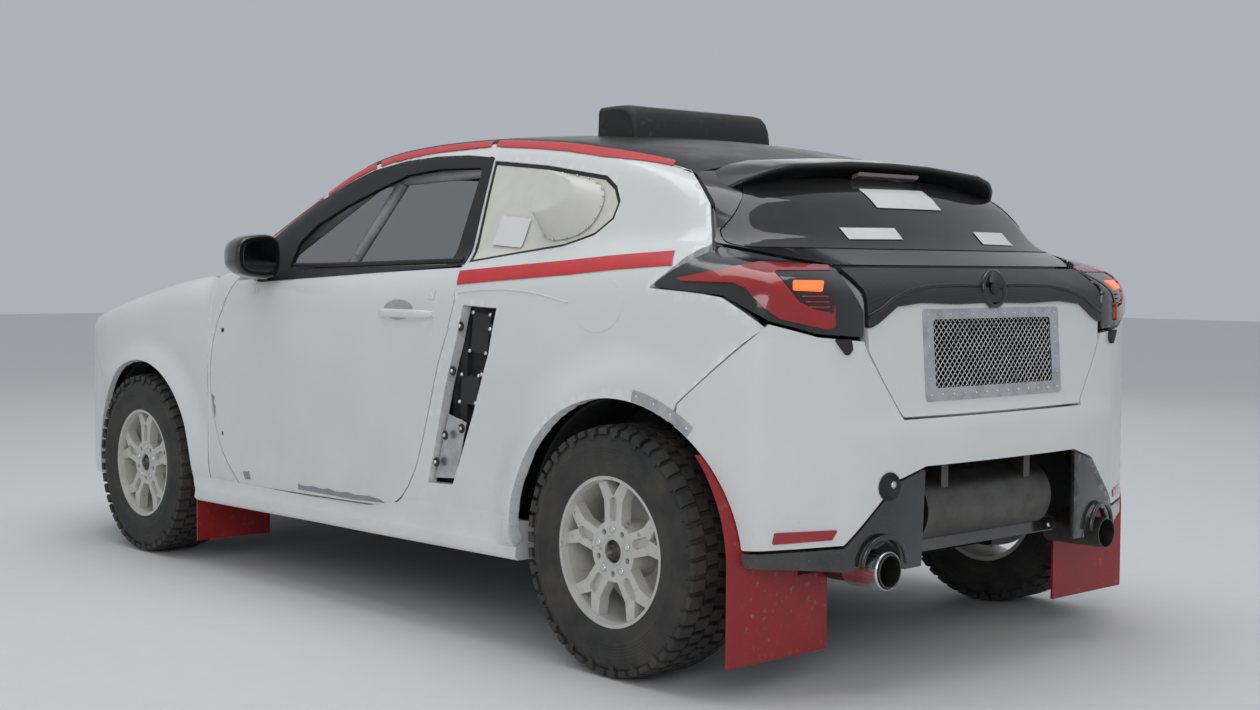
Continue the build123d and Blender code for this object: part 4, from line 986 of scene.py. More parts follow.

# Intake slot: its dark box, which is painted shade closing the slot a few centimetres in, black brackets with
# bolts, and the bare plate below
# The near-black box behind the slot is painted shade: it stands in for the dark depth of the duct.
both(loft("intake_box_left", [[(x, 0.745, z) for x, z in INTAKE], [(x, 0.80, z) for x, z in INTAKE]], [DARK]))
plate = side_sheet("intake_plate_left", [(-0.66, 0.62), (-0.745, 0.60), (-0.695, 0.435), (-0.598, 0.428)],
                   ALLOY, depth=0.002, lift=-0.018, gap=0)
left, right = both(plate)
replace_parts(left, "intake_plates")
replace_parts(right, "intake_plates")
brackets = [[(-0.775, 0.915), (-0.855, 0.910), (-0.845, 0.800), (-0.770, 0.805)],
            [(-0.735, 0.735), (-0.815, 0.735), (-0.800, 0.655), (-0.725, 0.655)]]
bolts = []
for k, outline in enumerate(brackets):
    both(side_sheet(f"intake_bracket_{k}_left", outline, MATTE, depth=0.008, lift=-0.010, gap=0, corner=0.01))
    for x, z in outline:
        bolts.append((x * 0.97 - 0.024, side([(x, z)])[0][1] - 0.008, z * 0.97 + 0.024))
tabs = [(-0.728, 0.872), (-0.868, 0.868), (-0.700, 0.745), (-0.838, 0.742), (-0.664, 0.560), (-0.742, 0.585),
        (-0.622, 0.480)]
ears = []
for x, z in tabs:
    y = side([(x, z)])[0][1]
    ears.append(lathe("ear", (x, y - 0.004, z), (0, 1, 0), [(0, 0.014), (0.003, 0.014)], [MATTE], count=16,
                      bevel=0.001))
    bolts.append((x, y, z))
both(group("intake_tabs_left", ears, "body"))
both(studs("intake_bolts_left", bolts, 0.006, 0.006, [STEEL], "body", way=(0, 1, 0), sides=6))

# Nose: hood, lamps, bumper and its grille
HOOD_EDGE = [(1.838, 0.0), (1.838, 0.30), (1.828, 0.505), (1.80, 0.536), (1.56, 0.64), (1.30, 0.670),
             (0.905, 0.716), (0.905, 0.36), (0.905, 0.0)]
hood = sheet("hood_skin", f_body, Drop(), whole(above(HOOD_EDGE[1:-1], f_body)), [WHITE, DARK], "front_lid",
             depth=0.022, inner=1, gap=0.003, corner=0.02)
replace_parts(hood, "hood")
NOSE_WRAP = Wrap(1.15, 0.85)
lamp_outline = ahead([(0.45, 0.668), (0.60, 0.68), (0.69, 0.70), (0.79, 0.765), (0.79, 0.852), (0.60, 0.80),
                      (0.47, 0.742)], f_body)
left, right = both(sheet("headlamp_left", f_body, NOSE_WRAP, lamp_outline, LAMP_CLEAR, depth=0.02,
                         corner=0.02))
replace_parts(left, "headlamps")
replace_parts(right, "headlamps")
GRILLE = [(0.43, 0.29), (0.43, 0.455)]
bumper_half = (ahead([(0.25, 0.236), (0.60, 0.236)], f_body)
               + side([(1.72, 0.236), (1.545, 0.245), (1.5455, 0.305)] + ring(ARCH_FRONT, ARCH_R, 3, 33, 12)
                      + [(1.482, 0.56), (1.60, 0.70)], f_body)
               + ahead([(0.79, 0.765), (0.69, 0.70), (0.60, 0.68), (0.45, 0.668), (0.47, 0.742)], f_body)
               + above([(1.834, 0.505), (1.844, 0.30)], f_body))
bumper = sheet("front_bumper_skin", f_body, NOSE_WRAP, whole(bumper_half), [WHITE, DARK], "body",
               holes=[whole(ahead(GRILLE, f_body))], depth=0.02, inner=1, edge=0.012)
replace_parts(bumper, "front_bumper")

# Roof and screen
roof_half = above([(-1.405, 0.30), (-1.405, 0.588), (-1.17, 0.592), (-0.895, 0.587), (-0.558, 0.582),
                   (-0.284, 0.587), (-0.10, 0.600), (0.017, 0.618), (0.085, 0.612), (0.15, 0.56),
                   (0.24, 0.44), (0.31, 0.28), (0.335, 0.10)])
roof = sheet("roof_skin", f_all, Drop(), whole(roof_half), [ROOF_BLACK, DARK], "body", depth=0.03, inner=1,
             corner=0.01)
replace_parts(roof, "roof")
SCREEN_HALF = [(0.06, 1.023), (0.22, 1.018), (0.36, 1.006), (0.44, 1.001), (0.76, 1.004), (0.742, 1.127),
               (0.70, 1.208), (0.642, 1.325), (0.60, 1.352), (0.52, 1.366), (0.30, 1.383), (0.10, 1.389)]
screen = sheet("screen_pane", f_cabin, Back(-0.2, 1, 1.4), whole(toward(SCREEN_HALF, -0.2, 1, f_cabin)),
               SCREEN, "body", depth=0.006, lift=-0.004, corner=0.03)
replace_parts(screen, "windscreen")

# Tail: lower and upper tailgate, rear glass, lamp housings and bumper
TAIL_WRAP = Wrap(-1.25, 0.75)
REAR = Back(TAIL_START, -1, 1.2)
MESH = [(0.292, 0.712), (0.292, 0.935)]
lower_gate = sheet("tailgate_lower", f_all, REAR,
                   whole(behind([(0.0, 0.672), (0.385, 0.672), (0.452, 0.765), (0.500, 0.838), (0.508, 0.94),
                                 (0.509, 1.041), (0.25, 1.041)])), [WHITE, DARK], "rear_lid",
                   holes=[whole(behind(MESH))], depth=0.03, inner=1, corner=0.012)
glass_half = [(0.25, 1.092), (0.648, 1.094), (0.672, 1.104), (0.655, 1.135), (0.515, 1.262), (0.49, 1.272),
              (0.2, 1.284)]
upper_gate = sheet("tailgate_upper", f_all, REAR, whole(behind([(0.25, 1.049), (0.512, 1.049), (0.60, 1.070)])
                                                        + HATCH_EDGE + above([(-1.421, 0.50),
                                                                              (-1.421, 0.2)])),
                   [BLACK_GLOSS, DARK], "rear_lid", holes=[whole(behind(glass_half))], depth=0.03, inner=1,
                   corner=0.006)
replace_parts(lower_gate, "tailgate")
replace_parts(upper_gate, "tailgate")
pane = sheet("rear_pane", f_all, REAR, whole(behind(glass_half)), REAR_PANE, "rear_lid", depth=0.005,
                  lift=-0.003, gap=0.001, corner=0.02)
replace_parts(pane, "rear_glass")
tail_lamp = ([(-1.87, 0.80, 0.914)] + side([(-1.732, 0.974), (-1.489, 0.993), (-1.54, 1.03), (-1.568, 1.046)])
             + [(-1.63, 0.72, 1.096)] + behind([(0.70, 1.098), (0.60, 1.062), (0.516, 1.044), (0.514, 0.94),
                                                (0.514, 0.872), (0.65, 0.882)]))
left, right = both(sheet("tail_lamp_left", f_all, TAIL_WRAP, tail_lamp, [BLACK_GLOSS, DARK], depth=0.02,
                         inner=1, lift=0.001, corner=0.008, gap=0.0025, step=0.013))
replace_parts(left, "tail_lamps")
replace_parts(right, "tail_lamps")
rear_half = (behind([(0.0, 0.549), (0.325, 0.549), (0.426, 0.520), (0.50, 0.45), (0.584, 0.371),
                     (0.70, 0.368)]) + [(-1.85, 0.86, 0.366)]
             + side([(-1.80, 0.366)] + ring(ARCH_REAR, ARCH_R, 173, 121, 18)
                    + [(-1.62, 0.71), (-1.705, 0.785), (-1.795, 0.862)]) + [(-1.868, 0.800, 0.910)]
             + behind([(0.65, 0.878), (0.514, 0.866), (0.502, 0.838), (0.452, 0.765), (0.387, 0.670)]))
rear_bumper = sheet("rear_bumper_skin", f_all, TAIL_WRAP, whole(rear_half), [WHITE, DARK], "body", depth=0.02,
                    inner=1, edge=0.012)
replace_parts(rear_bumper, "rear_bumper")

# Tail lamps: red lens, dark recess, lit patch and ribs
LENS = [(-1.574, 0.814, 1.015), (-1.697, 0.792, 1.036), (-1.753, 0.701, 1.058), (-1.811, 0.520, 1.050),
        (-1.910, 0.605, 0.899), (-1.902, 0.632, 0.896), (-1.856, 0.739, 0.920), (-1.836, 0.770, 0.944),
        (-1.812, 0.785, 0.971), (-1.789, 0.789, 0.994), (-1.753, 0.798, 1.007), (-1.601, 0.815, 1.009)]
RECESS = [(-1.805, 0.714, 1.037), (-1.841, 0.530, 1.038), (-1.909, 0.610, 0.935), (-1.891, 0.661, 0.943),
          (-1.874, 0.696, 0.963), (-1.856, 0.712, 0.994), (-1.838, 0.716, 1.013)]
LIT = [(-1.848, 0.688, 1.013), (-1.870, 0.604, 1.012), (-1.889, 0.630, 0.987), (-1.862, 0.703, 0.990)]
lens = sheet("lamp_lens_left", f_all, TAIL_WRAP, LENS, LAMP_RED, holes=[RECESS], depth=0.010, lift=0.009,
             gap=0, corner=0.006, bevel=0.003, step=0.012)
both(lens)
both(sheet("lamp_recess_left", f_all, TAIL_WRAP, RECESS, LAMP_DARK, depth=0.003, lift=0.004, gap=0.001,
           corner=0.004, step=0.012))
both(sheet("lamp_lit_left", f_all, TAIL_WRAP, LIT, LAMP_LIT, depth=0.004, lift=0.008, gap=0, corner=0.003,
           step=0.01))
bars = []
for k in range(4):
    z = 0.972 - 0.012 * k
    run = raised(behind([(y, z) for y in np.linspace(0.625, 0.690 - 0.006 * k, 5)]), 0.006)
    bars.append(tubing("bar", run, 0.0022, [LAMP_RED], count=8))
both(group("lamp_ribs_left", bars, "body"))

# Garnish across the tailgate with its rib and round recess
garnish_half = [(0.0, 0.955), (0.16, 0.952), (0.30, 0.957), (0.40, 0.948), (0.47, 0.908), (0.509, 0.893),
                (0.511, 1.044)]
sheet("garnish", f_all, REAR, whole(behind(garnish_half)), CARBON, "rear_lid", depth=0.012, lift=0.008, gap=0,
      corner=0.010, bevel=0.004)
rib = behind([(0.508, 0.925), (0.46, 0.943), (0.417, 0.966), (0.35, 0.987), (0.259, 0.998), (0.13, 1.001),
              (0.064, 0.999)])
ribs = []
for sign in (1, -1):
    run = moved([(x, sign * y, z) for x, y, z in rib], (-0.007, 0, 0))
    ribs.append(tubing("rib", run, 0.0055, [CARBON], count=10))
group("garnish_rib", ribs, "rear_lid")
emblem = moved(behind([(0.0, 0.990)]), (-0.004, 0, 0))[0]
tilt = Vector((-1, 0, 0.12))
lathe("emblem_recess", emblem, tilt, [(0.0, 0.052), (0.007, 0.051), (0.010, 0.047), (0.009, 0.042),
                                      (0.002, 0.040), (0.002, 0.001)], [BLACK_GLOSS], "rear_lid",
      smooth=False)
lathe("emblem_centre", emblem, tilt, [(0.003, 0.016), (0.008, 0.015), (0.009, 0.001)], [MATTE], "rear_lid",
      count=32)

# Woven mesh in its riveted frame
FRAME_IN = [(0.256, 0.741), (0.256, 0.914)]
FRAME_OUT = [(0.296, 0.708), (0.296, 0.940)]
mesh_frame = sheet("mesh_frame", f_all, REAR, whole(behind(FRAME_OUT)), ALLOY, "rear_lid",
                   holes=[whole(behind(FRAME_IN))], depth=0.002, lift=0.0025, gap=0, corner=0.012,
                   bevel=0.0008)
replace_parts(mesh_frame, "vent_panel")
wires = []
for sign in (1, -1):
    for c in np.arange(-MESH_HALF - MESH_HIGH + MESH_LOW, MESH_HALF + MESH_HIGH - MESH_LOW, MESH_PITCH):
        ends = []
        for z in np.linspace(MESH_LOW, MESH_HIGH, 13):
            y = c + sign * (z - (MESH_LOW + MESH_HIGH) / 2)
            if abs(y) <= MESH_HALF:
                ends.append((y, z))
        if len(ends) > 1:
            run = moved(behind(ends), (0.003 + 0.0011 * sign, 0, 0))
            wires.append(tubing("wire", run, MESH_WIRE, [STEEL], count=6))
group("vent_mesh", wires, "rear_lid")
rivet_line = []
for y0, z0, y1, z1, count in ((-0.277, 0.724, 0.277, 0.724, 12), (0.277, 0.724, 0.277, 0.927, 5),
                              (0.277, 0.927, -0.277, 0.927, 12), (-0.277, 0.927, -0.277, 0.724, 5)):
    rivet_line += [(y0 + (y1 - y0) * t, z0 + (z1 - z0) * t) for t in np.linspace(0, 1, count, endpoint=False)]
studs("mesh_rivets", moved(behind(rivet_line), (-0.004, 0, 0)), 0.0034, 0.0025, [STEEL], "rear_lid")

# Bare plate and stickers on the rear glass, rubber stops
PLATE_BACK = [(0.165, 1.256), (-0.108, 1.259), (-0.113, 1.204), (0.158, 1.204)]
decal("glass_plate", REAR, behind(PLATE_BACK), STICKER, "rear_lid", depth=0.001, lift=0.001, corner=0.004)
decal("glass_sticker_left", REAR, behind([(0.340, 1.147), (0.151, 1.149), (0.150, 1.119), (0.335, 1.117)]),
      STICKER, "rear_lid", depth=0.0006, lift=0.0008)
decal("glass_sticker_right", REAR, behind([(-0.196, 1.145), (-0.379, 1.146), (-0.387, 1.110),
                                           (-0.201, 1.111)]), STICKER, "rear_lid", depth=0.0006, lift=0.0008)
stop = sheet("rubber_stop_left", f_all, TAIL_WRAP,
             [(-1.911, 0.605, 0.872), (-1.921, 0.560, 0.871), (-1.923, 0.556, 0.846), (-1.921, 0.571, 0.831),
              (-1.917, 0.588, 0.850)], MATTE, depth=0.02, lift=0.012, gap=0, corner=0.004, bevel=0.003)
both(stop)

# Spoiler with swept, down-turned ends and its brake light
wing_rings = []
WING_PLACES = [np.linspace(-0.585, -0.40, 11), np.linspace(-0.34, 0.34, 9), np.linspace(0.40, 0.585, 11)]
for y in np.concatenate(WING_PLACES):
    drop = float(np.interp(abs(y), [0.0, 0.16, 0.40, 0.47, 0.53, 0.585],
                           [0.0, 0.002, 0.018, 0.032, 0.056, 0.090]))
    sweep = float(np.interp(abs(y), [0.0, 0.40, 0.47, 0.52, 0.585], [0.0, 0.004, 0.016, 0.042, 0.100]))
    fore = float(np.interp(abs(y), [0.0, 0.45, 0.585], [0.0, 0.0, -0.004]))
    top = 1.337 - drop
    wing_rings.append([(-1.415, y, top + 0.010 - fore), (-1.500 + sweep * 0.4, y, top + 0.007),
                       (-1.566 + sweep, y, top - 0.002), (-1.585 + sweep, y, top - 0.006),
                       (-1.590 + sweep, y, top - 0.011), (-1.588 + sweep, y, top - 0.018),
                       (-1.579 + sweep, y, top - 0.024), (-1.530 + sweep * 0.7, y, top - 0.042),
                       (-1.430, y, top - 0.078)])
wing = loft("spoiler_skin", wing_rings, [WING_BLACK], "rear_lid", bevel=0.002, angle=50)
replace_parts(wing, "spoiler")
loft("brake_light", [[(-1.5775, y, 1.3035), (-1.5735, y, 1.2925), (-1.549, y, 1.283), (-1.552, y, 1.2965)]
                     for y in (-0.130, -0.122, 0.122, 0.130)], [LAMP_PALE], "rear_lid", bevel=0.002)

# Roof scoop, open to the front
PROFILE = [(-0.694, 1.5245), (-0.760, 1.526), (-0.800, 1.5245), (-0.824, 1.518), (-0.840, 1.503),
           (-0.851, 1.480), (-0.857, 1.450), (-0.860, 1.405)]
scoop_points, faces, count = [], [], len(PROFILE)
ledge = [(-0.292, 0.014), (-0.288, 0.006), (-0.279, 0.002), (-0.264, 0.0), (0.264, 0.0), (0.279, 0.002),
         (0.288, 0.006), (0.292, 0.014)]
for y, inset in ledge:
    scoop_points += [(x + inset * (0 if i < 2 else 0.8), y, z - inset) for i, (x, z) in enumerate(PROFILE)]
for i in range(len(ledge) - 1):
    faces += [(i * count + j, i * count + j + 1, (i + 1) * count + j + 1, (i + 1) * count + j)
              for j in range(count - 1)]
scoop_points += [(-0.694, -0.292, 1.405), (-0.694, 0.292, 1.405)]
last = (len(ledge) - 1) * count
faces += [tuple(range(count)) + (len(scoop_points) - 2,),
          tuple(range(last + count - 1, last - 1, -1)) + (len(scoop_points) - 1,)]
scoop = new_object("roof_scoop_shell", scoop_points, faces, [MATTE])
mod = scoop.modifiers.new("wall", "SOLIDIFY")
mod.thickness, mod.offset = 0.006, 1
scoop = finish_mesh(scoop, "body", bevel=0.0015, angle=50)
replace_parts(scoop, "roof_scoop")

# Bumper: reflectors, round hole whose flat black floor is painted shade; below it the diffuser, the tail
# pipes' sleeves
reflector = sheet("reflector_left", f_all, TAIL_WRAP,
                  [(-1.852, 0.748, 0.411), (-1.921, 0.599, 0.412), (-1.915, 0.613, 0.388),
                   (-1.849, 0.754, 0.383)], LAMP_RED, depth=0.004, lift=0.003, gap=0, corner=0.004)
both(reflector)
spot = behind([(0.452, 0.508)])[0]
# The hole's flat matte black floor is painted shade: it stands in for the dark opening of the tow eye.
lathe("bumper_hole", spot, slope(spot), [(0.001, 0.036), (0.003, 0.035), (0.003, 0.032), (0.0005, 0.031),
                                         (0.0005, 0.001)], [MATTE], "body", count=32, smooth=False)
lathe("bumper_hole_core", np.array(spot) + (0, -0.014, 0.004), slope(spot),
      [(0.0, 0.010), (0.005, 0.009), (0.006, 0.001)], [STEEL], "body", count=24)
boxy("lower_beam", (-1.900, -0.338, 0.318), (-1.880, 0.338, 0.352), [BLACK_GLOSS], "body", bevel=0.004)
studs("beam_bolts", [(-1.900, sign * 0.315, 0.335) for sign in (1, -1)], 0.007, 0.005, [STEEL], "body",
      way=(-1, 0, 0))
notch = oval(TIP_CENTRE, (0.058, 0.058), np.linspace(math.pi, 0, 13))
panel = (behind([(0.327, 0.545), (0.426, 0.516), (0.499, 0.446), (0.584, 0.366), (0.70, 0.363)])
         + [(-1.85, 0.86, 0.361)] + side([(-1.795, 0.361), (-1.800, 0.332)]) + [(-1.85, 0.86, 0.326)]
         + behind([(0.70, 0.318), (0.57, 0.305)] + notch[::-1] + [(0.40, 0.298), (0.335, 0.300)]))
left, right = both(sheet("diffuser_left", f_all, TAIL_WRAP, panel, BLACK_GLOSS, depth=0.012, gap=0.001,
                         corner=0.006, edge=0.012))
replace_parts(left, "diffuser")
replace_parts(right, "diffuser")
lip = moved(behind(oval(TIP_CENTRE, (0.070, 0.070), np.linspace(math.pi, 0, 17))), (-0.013, 0, 0))
both(tubing("diffuser_arch_left", lip, 0.006, [BLACK_GLOSS]))
lathe("tip_sleeve", (-1.870, 0.476, 0.305), (-1, 0, 0),
      [(0.0, 0.0435), (0.0, 0.0485), (0.104, 0.049), (0.109, 0.047), (0.109, 0.0435), (0.0, 0.0435)], [STEEL],
      "body", caps=False)

# Wheels: nuts, hub, and tyres with ribbed walls and a block tread
def turned(points, x, y):
    """Points given as (along the axle, round, radius) placed at a wheel."""
    return [(x + r * math.cos(t), y + a, WHEEL_Z + r * math.sin(t)) for a, t, r in points]


def tyre(name, x, y, body):
    """A gravel tyre, from its beads to its tread blocks."""
    wall = [(0.096, 0.193), (0.099, 0.203), (0.1015, 0.212), (0.1025, 0.226)]
    for k in range(5):
        r = 0.232 + 0.008 * k
        wall += [(0.1025, r), (0.1038, r + 0.002), (0.1038, r + 0.004), (0.1025, r + 0.006)]
    wall += [(0.1015, 0.277), (0.0985, 0.290), (0.092, 0.302), (0.080, 0.309), (0.04, 0.3115), (0.0, 0.312)]
    profile = wall + [(-a, r) for a, r in wall[-2::-1]]
    verts, faces = [], []
    for k in range(TYRE_STEPS):
        t = 2 * math.pi * k / TYRE_STEPS
        verts += turned([(a, t, r) for a, r in profile], x, y)
    n = len(profile)
    for k in range(TYRE_STEPS):
        for j in range(n - 1):
            a, b = k * n + j, (k + 1) % TYRE_STEPS * n + j
            faces.append((a, a + 1, b + 1, b))
    rows = [(0.0665, 0.1015, 0.0, 0.010, 0.30), (0.0240, 0.0600, 0.5, 0.006, 0.309),
            (-0.0175, 0.0175, 0.0, -0.006, 0.309)]
    rows += [(-high, -low, shift + 0.25, -skew, deep) for low, high, shift, skew, deep in rows[:2]]
    for low, high, shift, skew, deep in rows:
        for k in range(PITCHES):
            t = 2 * math.pi * (k + shift) / PITCHES
            half = 0.36 * 2 * math.pi / PITCHES * (1.08 if k % 3 else 0.92)
            base = len(verts)
            edge_low = TREAD_R - (0.007 if low < -0.1 else 0)
            edge_high = TREAD_R - (0.007 if high > 0.1 else 0)
            for a, lean, top in ((low, -skew, edge_low), (high, skew, edge_high)):
                verts += turned([(a, t + lean - half, deep), (a, t + lean + half, deep),
                                 (a, t + lean + half * 0.9, top), (a, t + lean - half * 0.9, top)], x, y)
            faces += [tuple(base + i for i in f) for f in BLOCK_FACES]
    for side_sign in (1, -1):
        for k in range(PITCHES // 2):
            t = 2 * math.pi * (2 * k + (0.0 if side_sign > 0 else 0.25)) / PITCHES
            base = len(verts)
            for lean in (-0.030, 0.030):
                verts += turned([(side_sign * 0.098, t + lean, 0.284),
                                 (side_sign * 0.1025, t + lean * 0.9, 0.287),
                                 (side_sign * 0.1015, t + lean, 0.309), (side_sign * 0.088, t + lean, 0.309)],
                                x, y)
            faces += [tuple(base + i for i in f) for f in BLOCK_FACES]
    obj = new_object(name, verts, faces, [TYRE], smooth=False)
    face_outward(obj)
    obj.data.polygons.foreach_set("use_smooth", [i < TYRE_STEPS * (n - 1)
                                                 for i in range(len(obj.data.polygons))])
    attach(obj, body)
    return obj


for end, x, y, hub_face in (("front", FRONT_AXLE, 0.7675, 0.8475), ("rear", REAR_AXLE, 0.7825, 0.8625)):
    short = end[0]
    for side_name, sign in (("left", 1), ("right", -1)):
        body, key = f"wheel_{end}_{side_name}", short + side_name[0]
        made = tyre(f"tyre_{end}_{side_name}", x, sign * y, body)
        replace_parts(made, f"tyre_{key}")
        nuts = []
        for k in range(NUT_COUNT):
            t = math.pi / 2 + 2 * math.pi * k / NUT_COUNT
            place = (x + NUT_CIRCLE * math.cos(t), sign * (hub_face - 0.012), WHEEL_Z
                     + NUT_CIRCLE * math.sin(t))
            nuts.append(lathe("nut", place, (0, sign, 0), [(0.0, 0.0105), (0.014, 0.0105), (0.017, 0.008),
                                                           (0.017, 0.004)], [STEEL], count=6, smooth=False))
        group(f"nuts_{end}_{side_name}", nuts, body)
        lathe(f"hub_ring_{end}_{side_name}", (x, sign * (hub_face - 0.004), WHEEL_Z), (0, sign, 0),
              [(0.0, 0.0385), (0.006, 0.0375), (0.007, 0.034), (0.003, 0.031), (0.0, 0.031), (0.0, 0.0385)],
              [RIM], body, caps=False)
        lathe(f"hub_nut_{end}_{side_name}", (x, sign * (hub_face - 0.014), WHEEL_Z), (0, sign, 0),
              [(0.0, 0.027), (0.006, 0.027), (0.008, 0.024), (0.009, 0.018), (0.020, 0.017), (0.022, 0.014),
               (0.012, 0.011), (0.012, 0.001)], [DARK_STEEL], body, count=24)

# Door mirrors: a rounded housing, its glass and its foot
MIRROR_RINGS = (
    (0.262, 0.084, 0.060, 0.0), (0.266, 0.092, 0.067, 0.0), (0.285, 0.094, 0.070, 0.0),
    (0.330, 0.092, 0.069, 0.001), (0.375, 0.081, 0.060, 0.004), (0.408, 0.062, 0.045, 0.008),
    (0.428, 0.038, 0.027, 0.012), (0.436, 0.012, 0.009, 0.014))
mirror_rings = []
for x, half_y, half_z, shift in MIRROR_RINGS:
    ring_points = []
    for t in np.linspace(0, 2 * math.pi, 40, endpoint=False):
        c, s = math.cos(t), math.sin(t)
        grow = (abs(c) ** 3.2 + abs(s) ** 3.2) ** (-1 / 3.2)
        ring_points.append((x - 0.10 * half_y * c * grow, MIRROR_Y - shift + 0.89 * half_y * c * grow,
                            MIRROR_Z + half_z * s * grow * (1 - 0.12 * c)))
    mirror_rings.append(ring_points)
housing = loft("mirror_housing_left", mirror_rings, [BLACK_GLOSS], bevel=0.0)
glass_ring = [(q[0] - 0.0005, MIRROR_Y + (q[1] - MIRROR_Y) * 0.86, MIRROR_Z + (q[2] - MIRROR_Z) * 0.84)
              for q in mirror_rings[0]]
mirror_glass = loft("mirror_glass_left", [glass_ring, [(q[0] - 0.002, q[1], q[2]) for q in glass_ring]],
                    [MIRROR])
foot = loft("mirror_foot_left", [[(0.455, 0.800, 0.985), (0.345, 0.806, 0.990), (0.345, 0.800, 1.006),
                                  (0.455, 0.792, 1.006)], [(0.420, 0.835, 0.992), (0.325, 0.840, 0.995),
                                                           (0.325, 0.838, 1.012), (0.420, 0.833, 1.012)],
                                 [(0.400, 0.865, 1.004), (0.310, 0.870, 1.006), (0.310, 0.870, 1.028),
                                  (0.400, 0.865, 1.028)]], [BLACK_GLOSS], bevel=0.004)
left, right = both(housing, "left_door")
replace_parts(left, "mirror_left")
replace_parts(right, "mirror_right")
both(mirror_glass, "left_door")
both(foot, "left_door")


# Inside: cushions on the seat shells and struts of the cage
def cushion(name, corner, across, along, up, thick, seams):
    """A crowned pad on a flat back, pinched at its sewn channels."""
    corner, across, along, up = (Vector(v) for v in (corner, across, along, up))
    count = 22
    verts, faces = [], []
    for j in range(count + 1):
        for i in range(count + 1):
            u, v = i / count * 2 - 1, j / count * 2 - 1
            rise = thick * (1 - abs(u) ** 3.5) ** 0.5 * (1 - abs(v) ** 3.5) ** 0.5
            for seam in seams:
                rise *= 1 - 0.30 * math.exp(-((v - seam) / 0.05) ** 2)
            pull = 1 - 0.02 * (1 - abs(u * v))
            verts.append(tuple(corner + across * ((u * pull + 1) / 2) + along * ((v * pull + 1) / 2)
                               + up * (rise + 0.006)))
    top = len(verts)
    for j in range(count + 1):
        for i in range(count + 1):
            verts.append(tuple(corner + across * (i / count) + along * (j / count)))
    for j in range(count):
        for i in range(count):
            a = j * (count + 1) + i
            faces += [(a, a + 1, a + count + 2, a + count + 1),
                      (top + a + count + 1, top + a + count + 2, top + a + 1, top + a)]
    border = ([i for i in range(count)] + [i * (count + 1) + count for i in range(count)]
              + [count * (count + 1) + count - i for i in range(count)]
              + [(count - i) * (count + 1) for i in range(count)])
    for k, a in enumerate(border):
        b = border[(k + 1) % len(border)]
        faces.append((a, top + a, top + b, b))
    obj = new_object(name, verts, faces, [CLOTH])
    face_outward(obj)
    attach(obj, "body")


for side_name, sign in (("left", 1), ("right", -1)):
    low_y = 0.192 if sign > 0 else -0.548
    cushion(f"seat_base_{side_name}", (-0.300, low_y, 0.404), (0, 0.356, 0), (0.350, 0, 0.030), (0, 0, 1),
            0.034, (-0.35, 0.3))
    cushion(f"seat_back_{side_name}", (-0.362, low_y + 0.006, 0.470), (0, 0.344, 0), (-0.096, 0, 0.430),
            (0.97, 0, 0.22), 0.040, (-0.5, 0.0, 0.5))
    cushion(f"seat_head_{side_name}", (-0.466, low_y + 0.060, 0.930), (0, 0.236, 0), (-0.028, 0, 0.130),
            (0.97, 0, 0.22), 0.045, ())
strut = tubing("cage_strut_left", [(-0.045, 0.552, 1.306), (0.20, 0.606, 1.019), (0.488, 0.672, 0.660)],
               0.019, [CAGE])
both(strut)

floor = new_object("floor", [(-30, -30, 0), (30, -30, 0), (30, 30, 0), (-30, 30, 0)], [(0, 1, 2, 3)],
                   plain("pale_floor", (0.74, 0.74, 0.74), 0.7, spread=0.015, grain=8.0), smooth=False)


# Camera and light
def aim(location, yaw, pitch, roll):
    """Where a camera stands and the way it looks, by degrees."""
    yaw, pitch, roll = map(math.radians, (yaw, pitch, roll))
    ahead = Vector((math.cos(yaw) * math.cos(pitch), math.sin(yaw) * math.cos(pitch), math.sin(pitch)))
    right_way = ahead.cross(Vector((0, 0, 1))).normalized()
    up = right_way.cross(ahead)
    turned_right = right_way * math.cos(roll) + up * math.sin(roll)
    turned_up = up * math.cos(roll) - right_way * math.sin(roll)
    basis = Matrix((turned_right, turned_up, -ahead)).transposed().to_4x4()
    return Matrix.Translation(location) @ basis


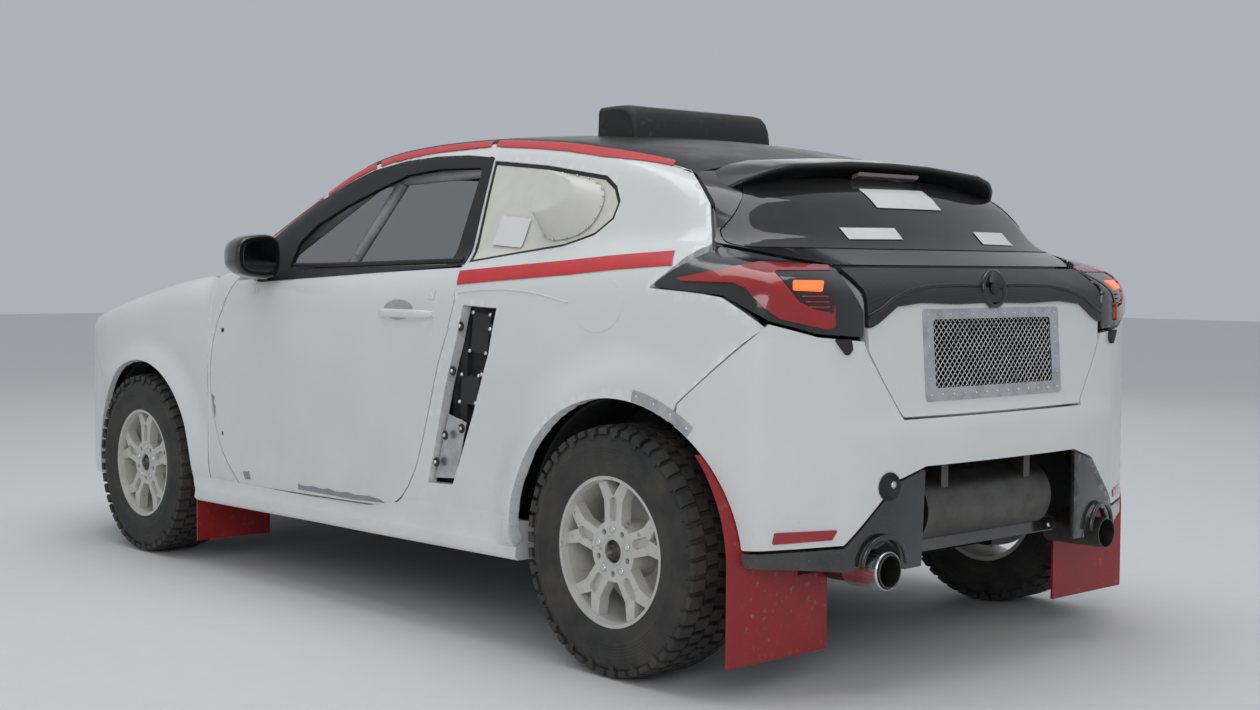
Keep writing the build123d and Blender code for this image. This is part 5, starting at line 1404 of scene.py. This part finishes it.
LENS_MM, SENSOR_MM, FAR_CLIP = 49.25, 36, 200
CAMERA_PLACE, CAMERA_YAW, CAMERA_PITCH, CAMERA_ROLL = (-4.6277, 3.7535, 1.0402), -42.4045, -2.9068, 0.377
SKY, SKY_STRENGTH = (0.86, 0.93, 1.0, 1), 0.48
camera_data = bpy.data.cameras.new("camera")
camera_data.lens, camera_data.sensor_width, camera_data.clip_end = LENS_MM, SENSOR_MM, FAR_CLIP
camera = bpy.data.objects.new("camera", camera_data)
bpy.context.collection.objects.link(camera)
camera.matrix_world = aim(CAMERA_PLACE, CAMERA_YAW, CAMERA_PITCH, CAMERA_ROLL)
bpy.context.scene.camera = camera


def lamp(name, place, target, size, power):
    """A soft square light."""
    data = bpy.data.lights.new(name, "AREA")
    data.shape, data.size, data.size_y, data.energy = "RECTANGLE", size[0], size[1], power
    obj = bpy.data.objects.new(name, data)
    bpy.context.collection.objects.link(obj)
    obj.location = place
    obj.rotation_euler = (Vector(target) - Vector(place)).to_track_quat("-Z", "Y").to_euler()


lamp("over", (-0.5, 0.5, 6.0), (-0.2, 0, 0), (6, 4), 130)
lamp("rear_left", (-6.5, 5.5, 3.6), (-0.5, 0.3, 0.6), (4, 3), 95)
lamp("front_right", (5, -6, 4), (0, 0, 0.6), (4, 3), 60)
world = bpy.data.worlds.new("world")
bpy.context.scene.world = world
world.use_nodes = True
world.node_tree.nodes["Background"].inputs[0].default_value = SKY
world.node_tree.nodes["Background"].inputs[1].default_value = SKY_STRENGTH
bpy.context.scene.view_settings.view_transform = "Standard"

NODE_LOOKS = (
    (WHITE, "hood front_bumper rear_bumper fuel_flap side_skirts tailgate"),
    (ROOF_BLACK, "roof"),
    (BLACK_GLOSS, "spoiler diffuser mirror_left mirror_right"),
    (TRIM, "window_frames"),
    (DARK, "cowl floor_pan front_pan front_subframe rear_axle rear_beam"),
    (MATTE, "roof_scoop grille dashboard seats"),
    (CREAM, "quarter_windows"),
    (SCREEN, "windscreen door_glass_right"),
    (REAR_PANE, "rear_glass"),
    (LAMP_RED, "tail_lamps"),
    (LAMP_CLEAR, "headlamps"),
    (CAGE, "roll_cage"),
    (SILVER, "vent_panel"),
    (ALLOY, "intake_plates engine_block"),
    (DARK_STEEL, "exhaust knuckle_left knuckle_right"),
    (RED_FLAP, "mud_flaps"),
    (RIM, "rim_fl rim_fr rim_rl rim_rr"),
    (TYRE, "tyre_fl tyre_fr tyre_rl tyre_rr"),
)
for material, nodes in NODE_LOOKS:
    for node in nodes.split():
        NODES[node].data.materials.clear()
        NODES[node].data.materials.append(material)
